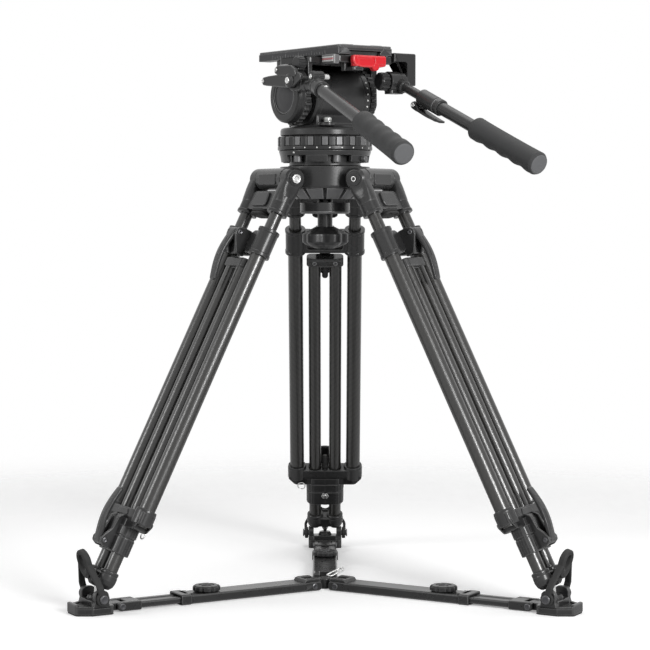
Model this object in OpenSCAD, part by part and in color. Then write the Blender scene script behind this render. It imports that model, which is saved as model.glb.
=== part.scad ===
// Video tripod with fluid head: two-stage twin-tube legs, ground spreader, two pan handles.
// Millimetres, Z up, floor at Z = 0 and the tripod axis on the Z axis.

LEGS = ["left", "right", "rear"];
LEG_PARTS = ["leg_yoke", "upper_tubes", "leg_clamps", "outer_tubes", "inner_tubes", "leg_foot",
             "upper_lever", "lower_lever", "foot_plate", "strap", "arm_channel", "arm_knob"];
HEAD_PARTS = ["crown", "hinge_bolts", "head_base", "tie_down_stud", "tie_down_knob", "pan_drag_ring",
              "pan_housing", "tilt_barrel", "pan_lock", "counterbalance_dial", "tilt_drag_ring",
              "tilt_lock", "tilt_cradle", "camera_plate", "plate_lock_lever", "left_clamp_lever",
              "left_handle_bar", "left_grip", "right_clamp_knob", "right_handle_arm",
              "right_handle_tube", "right_grip", "right_handle_lever", "spreader_hub"];

/* [Leg geometry] */
// angle of each leg from the vertical
leg_angle = 26.6; // [25:0.1:28]
// leg hinge axis to foot pivot
leg_length = 571.5; // [560:0.5:600]
// tripod axis to leg hinge axis
hinge_r = 71; // [70:0.5:76]
// height of the foot pivot above the floor
foot_pivot_z = 20.5; // [19:0.5:24]

/* [Leg tubes] */
// half the distance between the two outer tubes
tube_y = 40; // [39:0.5:43]
// half the distance between the two inner tubes
inner_y = 14.2; // [13.5:0.1:15]
// upper tube diameter
upper_d = 16; // [15:0.5:17]
// outer tube diameter
outer_d = 20; // [19.5:0.5:21]
// inner tube diameter
inner_d = 17; // [16:0.5:18]
// wall of the upper and inner tubes
tube_wall = 1.5; // [1:0.1:2.5]

/* [Leg castings] */
// hinge axis to the lower end of the yoke
yoke_length = 50; // [48:0.5:56]
// gap along the leg between yoke and upper clamp
yoke_gap = 22; // [16:0.5:26]
// height of the upper clamp along the leg
clamp_h = 36; // [34:0.5:40]
// wall of the sleeves around the tubes
sleeve_wall = 3.2; // [2.8:0.1:3.6]
// height of the lower bracket along the leg
bracket_h = 28; // [27:0.5:32]
// height of the lower clamp collar along the leg
collar_h = 34; // [30:0.5:36]
// length of the tube seen between lower clamp and foot
foot_gap = 23; // [18:0.5:28]
// height of the bridge that joins the inner tubes
bridge_h = 12; // [10:0.5:14]
// length of the rubber bumpers
bumper_l = 20; // [14:0.5:22]
// length of a clamp lever from its pivot
lever_l = 66; // [56:1:72]
// width of a clamp lever
lever_w = 15.4; // [12:0.2:16]
// thickness of a clamp lever
lever_t = 5.5; // [4:0.5:7]

/* [Hinges] */
// hinge bolt diameter at the crown
bolt_d = 12; // [10:0.5:13]
// hinge eye diameter at the crown
eye_d = 28; // [26:0.5:29]
// lever and knob pin diameter
pin_d = 5; // [4:0.2:5.6]
// radial running clearance of pins and shafts
pin_gap = 0.1; // [0.05:0.01:0.1]
// clearance between faces that move past each other
gap = 0.5; // [0.4:0.05:0.7]

/* [Spreader] */
// foot plate length outside the foot pivot
plate_out = 30; // [28:0.5:36]
// foot plate half width at the ears
plate_y = 24; // [23:0.5:27]
// foot plate half width at its outer end
plate_tip_y = 13.5; // [11:0.5:18]
// foot plate thickness
plate_t = 11; // [9:0.5:12]
// foot pivot to the arm pin, towards the hub
arm_pin_in = 31; // [29:0.5:34]
// arm channel width
arm_w = 33; // [32:0.5:36]
// arm channel height
arm_h = 11.2; // [11:0.1:13]
// arm channel wall
arm_wall = 1.2; // [1:0.1:2.2]
// distance of the channel mouth from the tripod axis
mouth_r = 213; // [205:1:220]
// distance of the channel's inner end from the tripod axis
arm_end_r = 14; // [13.5:0.5:16]
// bar length kept inside the channel
bar_in = 130; // [110:1:132]
// distance of the clamp knob from the channel mouth
arm_knob_in = 40; // [36:1:46]
// clamp knob diameter
arm_knob_d = 35; // [30:0.5:38]
// strap height above the foot pivot
strap_h = 61; // [56:0.5:64]
// strap thickness
strap_t = 5; // [4:0.5:6]

/* [Bowl] */
// bowl diameter
bowl_d = 100; // [96:0.5:101]
// crown body outer diameter
crown_d = 116; // [114:0.5:118]
// crown top above the hinge axis
crown_up = 16.5; // [16:0.5:19]
// tie-down stud diameter
stud_d = 19.5; // [16:0.5:22]
// tie-down cup diameter
cup_d = 64; // [58:0.5:66]
// tie-down knob diameter
tie_knob_d = 61; // [54:0.5:66]
// tie-down knob height
tie_knob_h = 28; // [24:0.5:30]

/* [Head] */
// head turned about the vertical, seen in the photo
head_yaw = 34.5; // [0:0.5:60]
// gap between crown top and skirt, for levelling
level_gap = 5.5; // [5:0.5:8]
// skirt diameter at its top
skirt_d = 119; // [117:0.5:121]
// skirt height
skirt_h = 18; // [16:0.5:22]
// pan drag ring diameter
pan_ring_d = 122; // [121:0.5:125]
// pan drag ring height
pan_ring_h = 14.5; // [12:0.5:17]
// notches round the pan drag ring
pan_ring_notches = 20; // [12:1:26]
// pan housing diameter
housing_d = 115; // [112:0.5:118]
// pan housing height
housing_h = 12.5; // [12:0.5:14]
// tilt barrel diameter
barrel_d = 76; // [72:0.5:77]
// tilt barrel left end from the middle
barrel_left = 37.5; // [36:0.5:39]
// tilt barrel right end from the middle
barrel_right = 46; // [44:0.5:48]
// tilt shaft diameter
shaft_d = 20; // [16:0.5:24]
// counterbalance dial diameter
dial_d = 68; // [64:0.5:70]
// counterbalance dial length
dial_l = 19; // [17:0.5:20]
// tilt drag ring width
tilt_ring_w = 9; // [8:0.5:10]

/* [Camera plate] */
// camera plate length
cam_plate_l = 183; // [170:1:190]
// camera plate width
cam_plate_w = 82; // [78:0.5:82]
// camera plate thickness
cam_plate_t = 12; // [11:0.5:13]
// platform thickness
platform_t = 9.5; // [9:0.5:12]
// platform length ahead of the tilt axis
platform_front = 58; // [54:0.5:64]
// platform length behind the tilt axis
platform_back = 84; // [83:0.5:86]

/* [Handles] */
// left handle: elbow to the end of the grip
left_handle_l = 270; // [255:1:300]
// right handle: clamp to the end of the grip
right_handle_l = 285; // [270:1:310]
// grip length
grip_l = 122; // [110:1:130]
// grip diameter
grip_d = 29; // [26:0.5:32]
// left handle bar diameter
bar_d = 16; // [14:0.5:17]
// right handle tube diameter
handle_tube_d = 16; // [14:0.5:17]
// wall of the right handle's sliding tube
handle_tube_wall = 1.6; // [1.2:0.1:2]
// length of the rod that the right handle slides on
handle_rod_l = 150; // [140:1:175]
// fall of the left handle below level
left_fall = 19.6; // [16:0.2:24]
// left handle turned outwards
left_splay = 11.3; // [8:0.1:16]
// fall of the right handle below level
right_fall = 22.5; // [16:0.5:28]
// right handle turned outwards
right_splay = 3.2; // [0:0.1:8]

/* [Hidden] */
$fn = 64;
leg_azimuth = [210, 330, 90];
hinge_z = foot_pivot_z + leg_length * cos(leg_angle);
foot_r = hinge_r + leg_length * sin(leg_angle);
spike_seat_z = foot_pivot_z + 0.2;

// positions along the leg, measured down from the hinge axis
clamp_w = yoke_length + yoke_gap;
clamp_end_w = clamp_w + clamp_h;
boot_w = leg_length - 34.5;
collar_end_w = boot_w - foot_gap;
collar_w = collar_end_w - collar_h;
bracket_w = collar_w - bracket_h;
bridge_w = clamp_end_w + 6;
boot_r = inner_d / 2 + 3.3;
boot_ball_w = leg_length - 11.5 - boot_r;
sleeve_r = outer_d / 2 + sleeve_wall;
bolt_r = bolt_d / 2;
pin_r = pin_d / 2;
eye_in = tube_y - 7.6;
eye_out = tube_y + 10;
lug_y = eye_in - gap;
lever_pivot_x = 23;

// spreader
plate_pin_r = 4;
arm_z0 = 0.8;
arm_z1 = arm_z0 + arm_h;
arm_pin_z = arm_z0 + arm_h / 2;
arm_pin_r = foot_r - arm_pin_in;
bar_y = arm_w / 2 - arm_wall - gap;
bar_z0 = arm_z0 + arm_wall + gap;
bar_z1 = arm_z1 - arm_wall - gap;
knob_z = arm_z1 + gap;
arm_knob_r = mouth_r - arm_knob_in;

// head heights
bowl_z = hinge_z + crown_up;
skirt_z = bowl_z + level_gap;
ring_z = skirt_z + skirt_h + gap;
housing_z = ring_z + pan_ring_h + 2 * gap;
housing_top = housing_z + housing_h;
barrel_r = barrel_d / 2;
tilt_z = housing_top + barrel_r - 1.2;
platform_z = barrel_r + 1.6;
platform_top = platform_z + platform_t;
cam_plate_z = platform_top + gap;
cam_plate_w2 = cam_plate_w / 2;
dial_x = barrel_left + 7.5;
dial_end = dial_x + dial_l;
left_arm_x = barrel_left + 0.9;
tilt_ring_x = barrel_right + 0.6;
right_arm_x = tilt_ring_x + tilt_ring_w + 0.8;
right_arm_t = 9;
shaft_r = shaft_d / 2 - pin_gap;

// platform sides and handle clamps, in the tilt frame
platform_left = 38;
platform_right = 46;
left_pivot = [-dial_end - 1, -45, 17];
right_pivot = [64, -80, 18];
right_disc_w = 24;
handle_rod_r = handle_tube_d / 2 - handle_tube_wall - 0.4;
handle_collar_z = 55;
clamp_pin_r = 4;
lock_pin = [-15.5, -platform_back - 7.2];
elbow = [left_pivot[0] - 8, -86, 9.5];
right_start = [right_pivot[0] - 9.2, right_pivot[1], right_pivot[2]];
bracket_t = 18;

function direction(fall, splay) = [sin(splay) * cos(fall), -cos(splay) * cos(fall), -sin(fall)];
left_dir = direction(left_fall, -left_splay);
right_dir = direction(right_fall, right_splay);

// outline of a bowed lever from its pivot: a sine bow of the given height, even thickness
function bow(l, rise, shift) = [for (i = [0:12]) [rise * sin(180 * i / 12) + shift, -l * i / 12]];
function reversed(p) = [for (i = [len(p) - 1:-1:0]) p[i]];

// half width of the platform's dovetail rail at a height
function rail_w(z) = 19 + (z - platform_top + 1) * 5 / 6;

module at_leg(k) {
    rotate([0, 0, leg_azimuth[k]])
        translate([hinge_r, 0, hinge_z])
            rotate([0, -leg_angle, 0])
                children();
}

module at_arm(k) {
    rotate([0, 0, leg_azimuth[k]])
        children();
}

module at_head() {
    rotate([0, 0, head_yaw])
        children();
}

module at_tilt() {
    at_head()
        translate([0, 0, tilt_z])
            children();
}

// z axis of the children laid along a direction, x axis of the children pointing down
module along(start, dir) {
    translate(start)
        rotate([0, acos(dir[2]), atan2(dir[1], dir[0])])
            children();
}

module box(x0, x1, y0, y1, z0, z1) {
    translate([x0, y0, z0])
        cube([x1 - x0, y1 - y0, z1 - z0]);
}

module rod_x(r, x0, x1, y = 0, z = 0) {
    translate([x0, y, z])
        rotate([0, 90, 0])
            cylinder(r = r, h = x1 - x0);
}

module rod_y(r, y0, y1, x = 0, z = 0) {
    translate([x, y1, z])
        rotate([90, 0, 0])
            cylinder(r = r, h = y1 - y0);
}

module rod_z(r, z0, z1, x = 0, y = 0) {
    translate([x, y, z0])
        cylinder(r = r, h = z1 - z0);
}

// flat shape drawn in x and z, given a width along y
module plate_xz(half_w) {
    translate([0, half_w, 0])
        rotate([90, 0, 0])
            linear_extrude(height = 2 * half_w)
                children();
}

// flat shape drawn in y and z, given a thickness along x
module plate_yz(x0, x1) {
    translate([x0, 0, 0])
        rotate([90, 0, 90])
            linear_extrude(height = x1 - x0)
                children();
}

module both_sides() {
    children();
    mirror([0, 1, 0])
        children();
}

// Legs

module leg_yoke(k) {
    color("dimgray")
        at_leg(k) {
            difference() {
                union() {
                    both_sides() {
                        rod_y(eye_d / 2, eye_in, eye_out);
                        box(-12, 12, eye_in, eye_out, -30, 0);
                        rod_z(sleeve_r - 0.8, -yoke_length, -eye_d / 2 - 3, y = tube_y);
                    }
                    box(-6, 8, -tube_y + 6, tube_y - 6, 4 - yoke_length, -eye_d / 2 - 5);
                    box(7, 10.5, -17, 17, 8 - yoke_length, -eye_d / 2 - 8);
                }
                rod_y(bolt_r + pin_gap, -eye_out - 1, eye_out + 1);
                both_sides()
                    rod_z(upper_d / 2 + 0.05, -yoke_length - 1, -15, y = tube_y);
            }
            rod_z(8.5, -yoke_length - 2, 3.9 - yoke_length, x = 1);
        }
}

module upper_tubes(k) {
    color("darkslategray")
        at_leg(k)
            both_sides()
                difference() {
                    rod_z(upper_d / 2, 22 - bracket_w, -15.5, y = tube_y);
                    rod_z(upper_d / 2 - tube_wall, 21 - bracket_w, -14, y = tube_y);
                }
}

module outer_tubes(k) {
    color("darkslategray")
        at_leg(k)
            both_sides()
                difference() {
                    rod_z(outer_d / 2, -bracket_w - 22, 18 - clamp_end_w, y = tube_y);
                    rod_z(upper_d / 2 + 0.4, -bracket_w - 23, 19 - clamp_end_w, y = tube_y);
                }
}

// block that carries a clamp lever, its ears and its pin
module lever_boss(z0, z1, pivot_z) {
    difference() {
        union() {
            box(6, 20, -12.6, 12.6, z0, z1);
            both_sides()
                rod_y(6, lever_w / 2 + 0.5, 12.6, lever_pivot_x, pivot_z);
        }
        rod_y(7, -lever_w / 2 - 0.5, lever_w / 2 + 0.5, lever_pivot_x, pivot_z);
        rod_y(pin_r + 0.05, -20, 20, lever_pivot_x, pivot_z);
    }
}

module leg_clamps(k) {
    upper_pivot = -clamp_w - 14;
    lower_pivot = 9 - collar_end_w;
    color("gray")
        at_leg(k) {
            difference() {
                union() {
                    both_sides()
                        rod_z(sleeve_r, -clamp_end_w, -clamp_w, y = tube_y);
                    box(-7, 9, 8 - tube_y, tube_y - 8, 2 - clamp_end_w, -clamp_w - 4);
                    lever_boss(-clamp_end_w - 4, -clamp_w - 6, upper_pivot);
                }
                box(-8, -3.5, -24, 24, 7 - clamp_end_w, -clamp_w - 9);
                both_sides() {
                    rod_z(upper_d / 2 + 0.35, -clamp_end_w - 1, -clamp_w + 1, y = tube_y);
                    rod_z(outer_d / 2 + 0.05, -clamp_end_w - 1, 18.1 - clamp_end_w, y = tube_y);
                }
            }
            difference() {
                union() {
                    both_sides()
                        rod_z(sleeve_r, -collar_w + 8, -bracket_w, y = tube_y);
                    lower_bracket();
                    both_sides()
                        rod_z(inner_d / 2 + 4, -collar_end_w, -collar_w + 1, y = inner_y);
                    box(-inner_d / 2 - 4, inner_d / 2 + 4, -inner_y, inner_y, -collar_end_w, -collar_w + 1);
                    lever_boss(2 - collar_end_w, 14 - collar_w, lower_pivot);
                }
                both_sides() {
                    rod_z(outer_d / 2 + 0.05, -bracket_w - 22.1, 1 - bracket_w, y = tube_y);
                    rod_z(inner_d / 2 + 0.35, -collar_end_w - 1, 1 - bracket_w, y = inner_y);
                }
                box(-20, -11.5, -30, 30, -collar_w - 10, -collar_w - 7);
                box(-13, 13, -2, 2, -collar_end_w - 1, -collar_end_w + 6);
            }
            rod_z(4.2, -bracket_w - 3.9, bumper_l - bracket_w - 4, y = 0);
            rod_y(pin_r, -12.6, 12.6, lever_pivot_x, upper_pivot);
            rod_y(pin_r, -12.6, 12.6, lever_pivot_x, lower_pivot);
        }
}

// lower bracket: a plate across both outer tubes with rounded lower corners
module lower_bracket() {
    corner = 10;
    half = tube_y + sleeve_r - 1;
    plate_yz(-10.5, 10.5) {
        translate([-half, corner - collar_w])
            square([2 * half, bracket_h - corner - 4]);
        translate([corner - half, -collar_w])
            square([2 * (half - corner), corner + 1]);
        for (s = [-1, 1])
            translate([s * (half - corner), corner - collar_w])
                circle(r = corner);
    }
}

module clamp_lever(rise) {
    difference() {
        plate_xz(lever_w / 2) {
            circle(r = 6);
            polygon(concat(bow(lever_l, rise, 6 - lever_t), reversed(bow(lever_l, rise, 6))));
        }
        rod_y(pin_r + pin_gap, -20, 20);
    }
}

module upper_lever(k) {
    color("slategray")
        at_leg(k)
            translate([lever_pivot_x, 0, -clamp_w - 14])
                clamp_lever(5);
}

module lower_lever(k) {
    color("slategray")
        at_leg(k)
            translate([lever_pivot_x, 0, 9 - collar_end_w])
                mirror([0, 0, 1])
                    clamp_lever(5);
}

module inner_tubes(k) {
    color("darkslategray")
        at_leg(k)
            both_sides()
                difference() {
                    rod_z(inner_d / 2, -boot_w - 14, -bridge_w - 5, y = inner_y);
                    rod_z(inner_d / 2 - tube_wall, -boot_w - 15, -bridge_w - 4, y = inner_y);
                }
}

module leg_foot(k) {
    color("dimgray")
        at_leg(k) {
            difference() {
                box(-9.5, 9.5, -25, 25, -bridge_w - bridge_h, -bridge_w);
                both_sides()
                    rod_z(inner_d / 2 + 0.05, -bridge_w - bridge_h - 1, -bridge_w - 4.9, y = inner_y);
            }
            rod_z(4.2, -bridge_w - bridge_h - bumper_l, -bridge_w - bridge_h - 0.1);
            difference() {
                union() {
                    both_sides() {
                        rod_z(boot_r, -boot_ball_w, -boot_w, y = inner_y);
                        translate([0, inner_y, -boot_ball_w])
                            sphere(r = boot_r);
                    }
                    box(-9, 9, -inner_y, inner_y, -boot_ball_w - 8, -boot_w - 3);
                    box(8, 16.5, -5, 5, -boot_w - 12, -boot_w - 5);
                }
                both_sides()
                    rod_z(inner_d / 2 + 0.05, -boot_w - 14.1, 1 - boot_w, y = inner_y);
                rod_z(5.05, -boot_ball_w - 9, -boot_ball_w + 2);
            }
            rod_z(5, -boot_ball_w - 12, -boot_ball_w + 1.9);
            translate([0, 0, -leg_length + 1.2])
                cylinder(r1 = 0.8, r2 = 5, h = leg_length - boot_ball_w - 13.1);
        }
}

// Ground spreader

module foot_plate(k) {
    color("dimgray")
        at_arm(k) {
            difference() {
                union() {
                    linear_extrude(height = plate_t)
                        polygon([[foot_r - 17, -plate_y], [foot_r + 12, -plate_y],
                                 [foot_r + plate_out, -plate_tip_y], [foot_r + plate_out, plate_tip_y],
                                 [foot_r + 12, plate_y], [foot_r - 17, plate_y]]);
                    both_sides() {
                        rod_y(9.5, plate_y - 7.5, plate_y, foot_r, foot_pivot_z);
                        box(foot_r - 9.5, foot_r + 9.5, plate_y - 7.5, plate_y, plate_t - 1, foot_pivot_z);
                    }
                    box(foot_r - 11, foot_r + 11, 1 - plate_y, plate_y - 1, plate_t - 1, foot_pivot_z - 3);
                    rod_z(9, plate_t - 1, spike_seat_z + 2, x = foot_r);
                    box(foot_r + plate_out - 4, foot_r + plate_out, -plate_tip_y, plate_tip_y,
                        1, plate_t + 3);
                    box(arm_pin_r, foot_r - 16, -9, 9, 2, plate_t);
                    rod_y(5, -9, 9, arm_pin_r, arm_pin_z);
                }
                translate([foot_r, 0, spike_seat_z])
                    cylinder(r1 = 2.4, r2 = 5.2, h = 2.1);
                both_sides()
                    rod_y(plate_pin_r + 0.05, plate_y - 8, 40, foot_r, foot_pivot_z);
                rod_y(pin_r + 0.05, -40, 40, arm_pin_r, arm_pin_z);
            }
            both_sides()
                rod_y(plate_pin_r, plate_y - 7.5, plate_y + strap_t + 2, foot_r, foot_pivot_z);
            rod_y(pin_r, -arm_w / 2, arm_w / 2, arm_pin_r, arm_pin_z);
            difference() {
                union() {
                    box(mouth_r - bar_in, arm_pin_r - 10, -bar_y, bar_y, bar_z0, bar_z1);
                    box(arm_pin_r - 24, arm_pin_r, -arm_w / 2 + 0.5, arm_w / 2 - 0.5, arm_z0, arm_z1);
                    rod_y(arm_h / 2, -arm_w / 2 + 0.5, arm_w / 2 - 0.5, arm_pin_r, arm_pin_z);
                }
                box(arm_pin_r - 8, arm_pin_r + 20, -9.4, 9.4, -1, 30);
                rod_y(pin_r + 0.05, -40, 40, arm_pin_r, arm_pin_z);
            }
        }
}

// rubber strap: two side arms from the plate's pin to a finger loop
module strap(k) {
    y1 = plate_y + gap;
    y2 = y1 + strap_t;
    top = strap_h;
    color("black")
        at_arm(k)
            translate([foot_r, 0, foot_pivot_z])
                rotate([0, 16, 0])
                    difference() {
                        union() {
                            both_sides() {
                                rod_y(8, y1, y2);
                                plate_yz(-4, 4)
                                    polygon([[y1, 0], [y2, 0], [y2, 14], [14, top - 18], [14, top - 12],
                                             [9, top - 12], [9, top - 19], [y1, 11]]);
                            }
                            plate_yz(-4, 4) {
                                translate([0, top - 14])
                                    circle(r = 14);
                                translate([-14, top - 23])
                                    square([28, 9]);
                            }
                        }
                        rod_y(plate_pin_r + pin_gap, -40, 40);
                        rod_x(8, -10, 10, 0, top - 14);
                        box(-10, 10, -8, 8, top - 17.5, top - 14);
                    }
}

module arm_channel(k) {
    color("gray")
        at_arm(k) {
            difference() {
                union() {
                    box(arm_end_r, mouth_r, -arm_w / 2, arm_w / 2, arm_z0, arm_z1);
                    box(mouth_r - 10, mouth_r + 3, -arm_w / 2 - 1.5, arm_w / 2 + 1.5, 0.4, arm_z1 + 1.5);
                    box(arm_end_r, 37, -arm_w / 2 + 2, arm_w / 2 - 2, arm_z1 - 1, arm_z1 + 4);
                    plate_xz(11)
                        polygon([[arm_knob_r + 20, arm_z1 - 1], [mouth_r - 4, arm_z1 - 1],
                                 [mouth_r - 4, arm_z1 + 1.5], [arm_knob_r + 24, arm_z1 + 1.5]]);
                }
                box(arm_end_r - 1, mouth_r + 4, -arm_w / 2 + arm_wall, arm_w / 2 - arm_wall,
                    arm_z0 + arm_wall, arm_z1 - arm_wall);
                box(arm_end_r - 1, 33, -6.5, 6.5, -1, 30);
                rod_y(pin_r + 0.05, -40, 40, 24, arm_pin_z);
                rod_z(pin_r + pin_gap, arm_z1 - arm_wall - 1, 40, x = arm_knob_r);
            }
            rod_y(pin_r, -arm_w / 2, arm_w / 2, 24, arm_pin_z);
        }
}

module arm_knob(k) {
    color("dimgray")
        at_arm(k)
            translate([arm_knob_r, 0, 0]) {
                rod_z(pin_r, arm_z1 - arm_wall, knob_z + 1);
                difference() {
                    rod_z(arm_knob_d / 2, knob_z, knob_z + 7);
                    for (i = [0:7])
                        rotate([0, 0, 45 * i])
                            rod_z(3.6, knob_z - 1, knob_z + 11, x = arm_knob_d / 2 + 1.2);
                }
            }
}

module spreader_hub() {
    color("dimgray") {
        rod_z(9, 0, arm_z1 + 1.5);
        rotate([0, 0, leg_azimuth[2]])
            difference() {
                box(0, 30, -6, 6, 2, arm_z1 - 1);
                rod_y(pin_r + pin_gap, -20, 20, 24, arm_pin_z);
            }
        for (k = [0, 1])
            at_arm(k)
                box(0, 11, -4, 4, 2, arm_z1 - 1);
    }
    color("silver")
        rotate([0, 0, 30])
            translate([6, 0, arm_z1 + 3.4])
                rotate([0, -20, 0])
                    bail();
}

// wire bail standing on the hub
module bail() {
    both_sides()
        rod_x(1.2, 0, 22, 5);
    rod_y(1.2, -6.2, 6.2, 22);
    rod_y(1.2, -6.2, 6.2);
    rotate([0, 20, 0])
        rod_z(1.2, -3, 0);
}

// Crown and bowl

module crown() {
    color("dimgray")
        difference() {
            union() {
                rod_z(crown_d / 2, hinge_z - 11.5, bowl_z);
                translate([0, 0, hinge_z - 24.5])
                    cylinder(r1 = crown_d / 2 - 21, r2 = crown_d / 2 - 5, h = 13.5);
                for (a = leg_azimuth)
                    rotate([0, 0, a]) {
                        box(40, hinge_r, -lug_y, lug_y, hinge_z - eye_d / 2, hinge_z + eye_d / 2);
                        rod_y(eye_d / 2, -lug_y, lug_y, hinge_r, hinge_z);
                    }
            }
            translate([0, 0, bowl_z])
                sphere(r = bowl_d / 2);
            for (a = leg_azimuth)
                rotate([0, 0, a])
                    rod_y(bolt_r + 0.05, -60, 60, hinge_r, hinge_z);
            for (i = [0:11])
                rotate([0, 0, 30 * i])
                    box(24, 60, -3.5, 3.5, hinge_z - 22, hinge_z - 13);
        }
}

module hinge_bolts() {
    color("silver")
        for (a = leg_azimuth)
            rotate([0, 0, a]) {
                rod_y(bolt_r, -eye_out - gap, eye_out + gap, hinge_r, hinge_z);
                both_sides()
                    rod_y(bolt_r + 2, eye_out + gap, eye_out + gap + 2.5, hinge_r, hinge_z);
            }
}

module head_base() {
    hub_r = pan_ring_d / 2 - 6.1;
    color("gray")
        difference() {
            union() {
                intersection() {
                    translate([0, 0, bowl_z])
                        sphere(r = bowl_d / 2 - 0.3);
                    rod_z(60, bowl_z - 37, bowl_z);
                }
                rod_z(46, bowl_z - 1, skirt_z + skirt_h - 1);
                difference() {
                    translate([0, 0, skirt_z])
                        cylinder(r1 = skirt_d / 2 - 3, r2 = skirt_d / 2, h = skirt_h);
                    rod_z(skirt_d / 2 - 7, skirt_z - 1, skirt_z + 12);
                }
                rod_z(hub_r, skirt_z + skirt_h - 1, ring_z + pan_ring_h + gap);
            }
            for (i = [0:5])
                rotate([0, 0, 60 * i - 71])
                    box(48, 70, -13, 13, skirt_z - 1, skirt_z + 8.5);
            rod_z(12 + pin_gap, ring_z - 6, housing_z + 1);
        }
}

module tie_down_stud() {
    color("gray") {
        difference() {
            union() {
                rod_z(stud_d / 2, bowl_z - 92, bowl_z - 37);
                rod_z(cup_d / 2, bowl_z - 55, bowl_z - 46);
                translate([0, 0, bowl_z - 60])
                    cylinder(r1 = cup_d / 2 - 6, r2 = cup_d / 2, h = 5);
            }
            rod_z(cup_d / 2 - 4, bowl_z - 50, bowl_z - 45);
        }
        rod_z(stud_d / 2, bowl_z - 51, bowl_z - 37);
    }
}

module tie_down_knob() {
    top = bowl_z - 77;
    lobe_r = 10.5;
    color("dimgray")
        difference() {
            union() {
                rod_z(18, top - tie_knob_h, top);
                for (i = [0:4])
                    rotate([0, 0, 72 * i - 130]) {
                        rod_z(lobe_r, top - tie_knob_h + 2, top - 4, x = tie_knob_d / 2 - lobe_r);
                        box(0, tie_knob_d / 2 - lobe_r, 1 - lobe_r, lobe_r - 1,
                            top - tie_knob_h + 2, top - 4);
                    }
            }
            rod_z(stud_d / 2 + pin_gap, bowl_z - 93, top + 1);
        }
}

module pan_drag_ring() {
    color("slategray")
        difference() {
            rod_z(pan_ring_d / 2, ring_z, ring_z + pan_ring_h);
            rod_z(pan_ring_d / 2 - 5.7, ring_z - 1, ring_z + pan_ring_h + 1);
            for (i = [1:pan_ring_notches])
                rotate([0, 0, 360 * i / pan_ring_notches])
                    box(pan_ring_d / 2 - 2.2, 80, -4.4, 4.4, ring_z + 5, ring_z + pan_ring_h + 1);
        }
}

// Fluid head

module pan_housing() {
    edge = 3;
    color("gray")
        at_head() {
            difference() {
                union() {
                    rod_z(housing_d / 2, housing_z, housing_top - edge);
                    translate([0, 0, housing_top - edge])
                        cylinder(r1 = housing_d / 2, r2 = housing_d / 2 - edge, h = edge);
                    rod_z(12, ring_z - 5, housing_z + 1);
                    box(3 - barrel_left, barrel_right - 3, -29, 29, housing_top - 1, housing_top + 16);
                }
                rod_x(barrel_r + 0.05, -90, 90, 0, tilt_z);
                rod_x(barrel_r + 1, tilt_ring_x - 0.4, 90, 0, tilt_z);
                rod_y(pin_r + pin_gap, 44, 70, 14, housing_z + 6.2);
                rod_y(pin_r + pin_gap, 18, 40, 12, housing_top + 7);
            }
            rod_z(6.5, housing_top + 0.05, housing_top + 6, x = -24, y = -41);
        }
}

module tilt_barrel() {
    color("dimgray")
        at_tilt() {
            rod_x(barrel_r, -barrel_left, barrel_right);
            rod_x(shaft_r, -dial_end + 5, right_arm_x + right_arm_t + 1.5);
        }
}

// small lever on a turned boss, shaft towards the head
module lock_lever(y0, y1, shaft_l) {
    rod_y(6, y0, y1);
    rod_y(pin_r, y0 - shaft_l, y0 + 1);
    box(0, 26, y1 - 7, y1 - 1, -3.5, 3.5);
    rod_y(4.2, y1 - 7, y1 - 1, 26);
}

module pan_lock() {
    color("black")
        at_head()
            translate([14, 0, housing_z + 6.2])
                lock_lever(housing_d / 2 + 0.4, housing_d / 2 + 13, 9.6);
}

module tilt_lock() {
    color("black")
        at_head()
            translate([12, 0, housing_top + 7])
                mirror([1, 0, 0])
                    lock_lever(29.6, 43, 2.5);
}

module counterbalance_dial() {
    color("slategray")
        at_tilt()
            difference() {
                union() {
                    rod_x(dial_d / 2, -dial_end, -dial_x - 5);
                    rod_x(dial_d / 2 + 2, -dial_x - 7, -dial_x);
                }
                rod_x(shaft_r + pin_gap, -dial_end + 4.5, -dial_x + 1);
                rod_x(23, -dial_end - 1, -dial_end + 1.5);
                for (i = [0:29])
                    rotate([12 * i, 0, 0])
                        box(-dial_x - 8, -dial_x + 1, -1.6, 1.6, dial_d / 2 + 0.6, dial_d / 2 + 5);
            }
}

module tilt_drag_ring() {
    color("slategray")
        at_tilt()
            difference() {
                rod_x(barrel_r + 0.4, tilt_ring_x, tilt_ring_x + tilt_ring_w);
                rod_x(shaft_r + pin_gap, tilt_ring_x - 1, tilt_ring_x + tilt_ring_w + 1);
                for (i = [0:29])
                    rotate([12 * i, 0, 0])
                        box(tilt_ring_x - 1, tilt_ring_x + tilt_ring_w + 1, -1.8, 1.8, barrel_r - 1.4, 60);
            }
}

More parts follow.
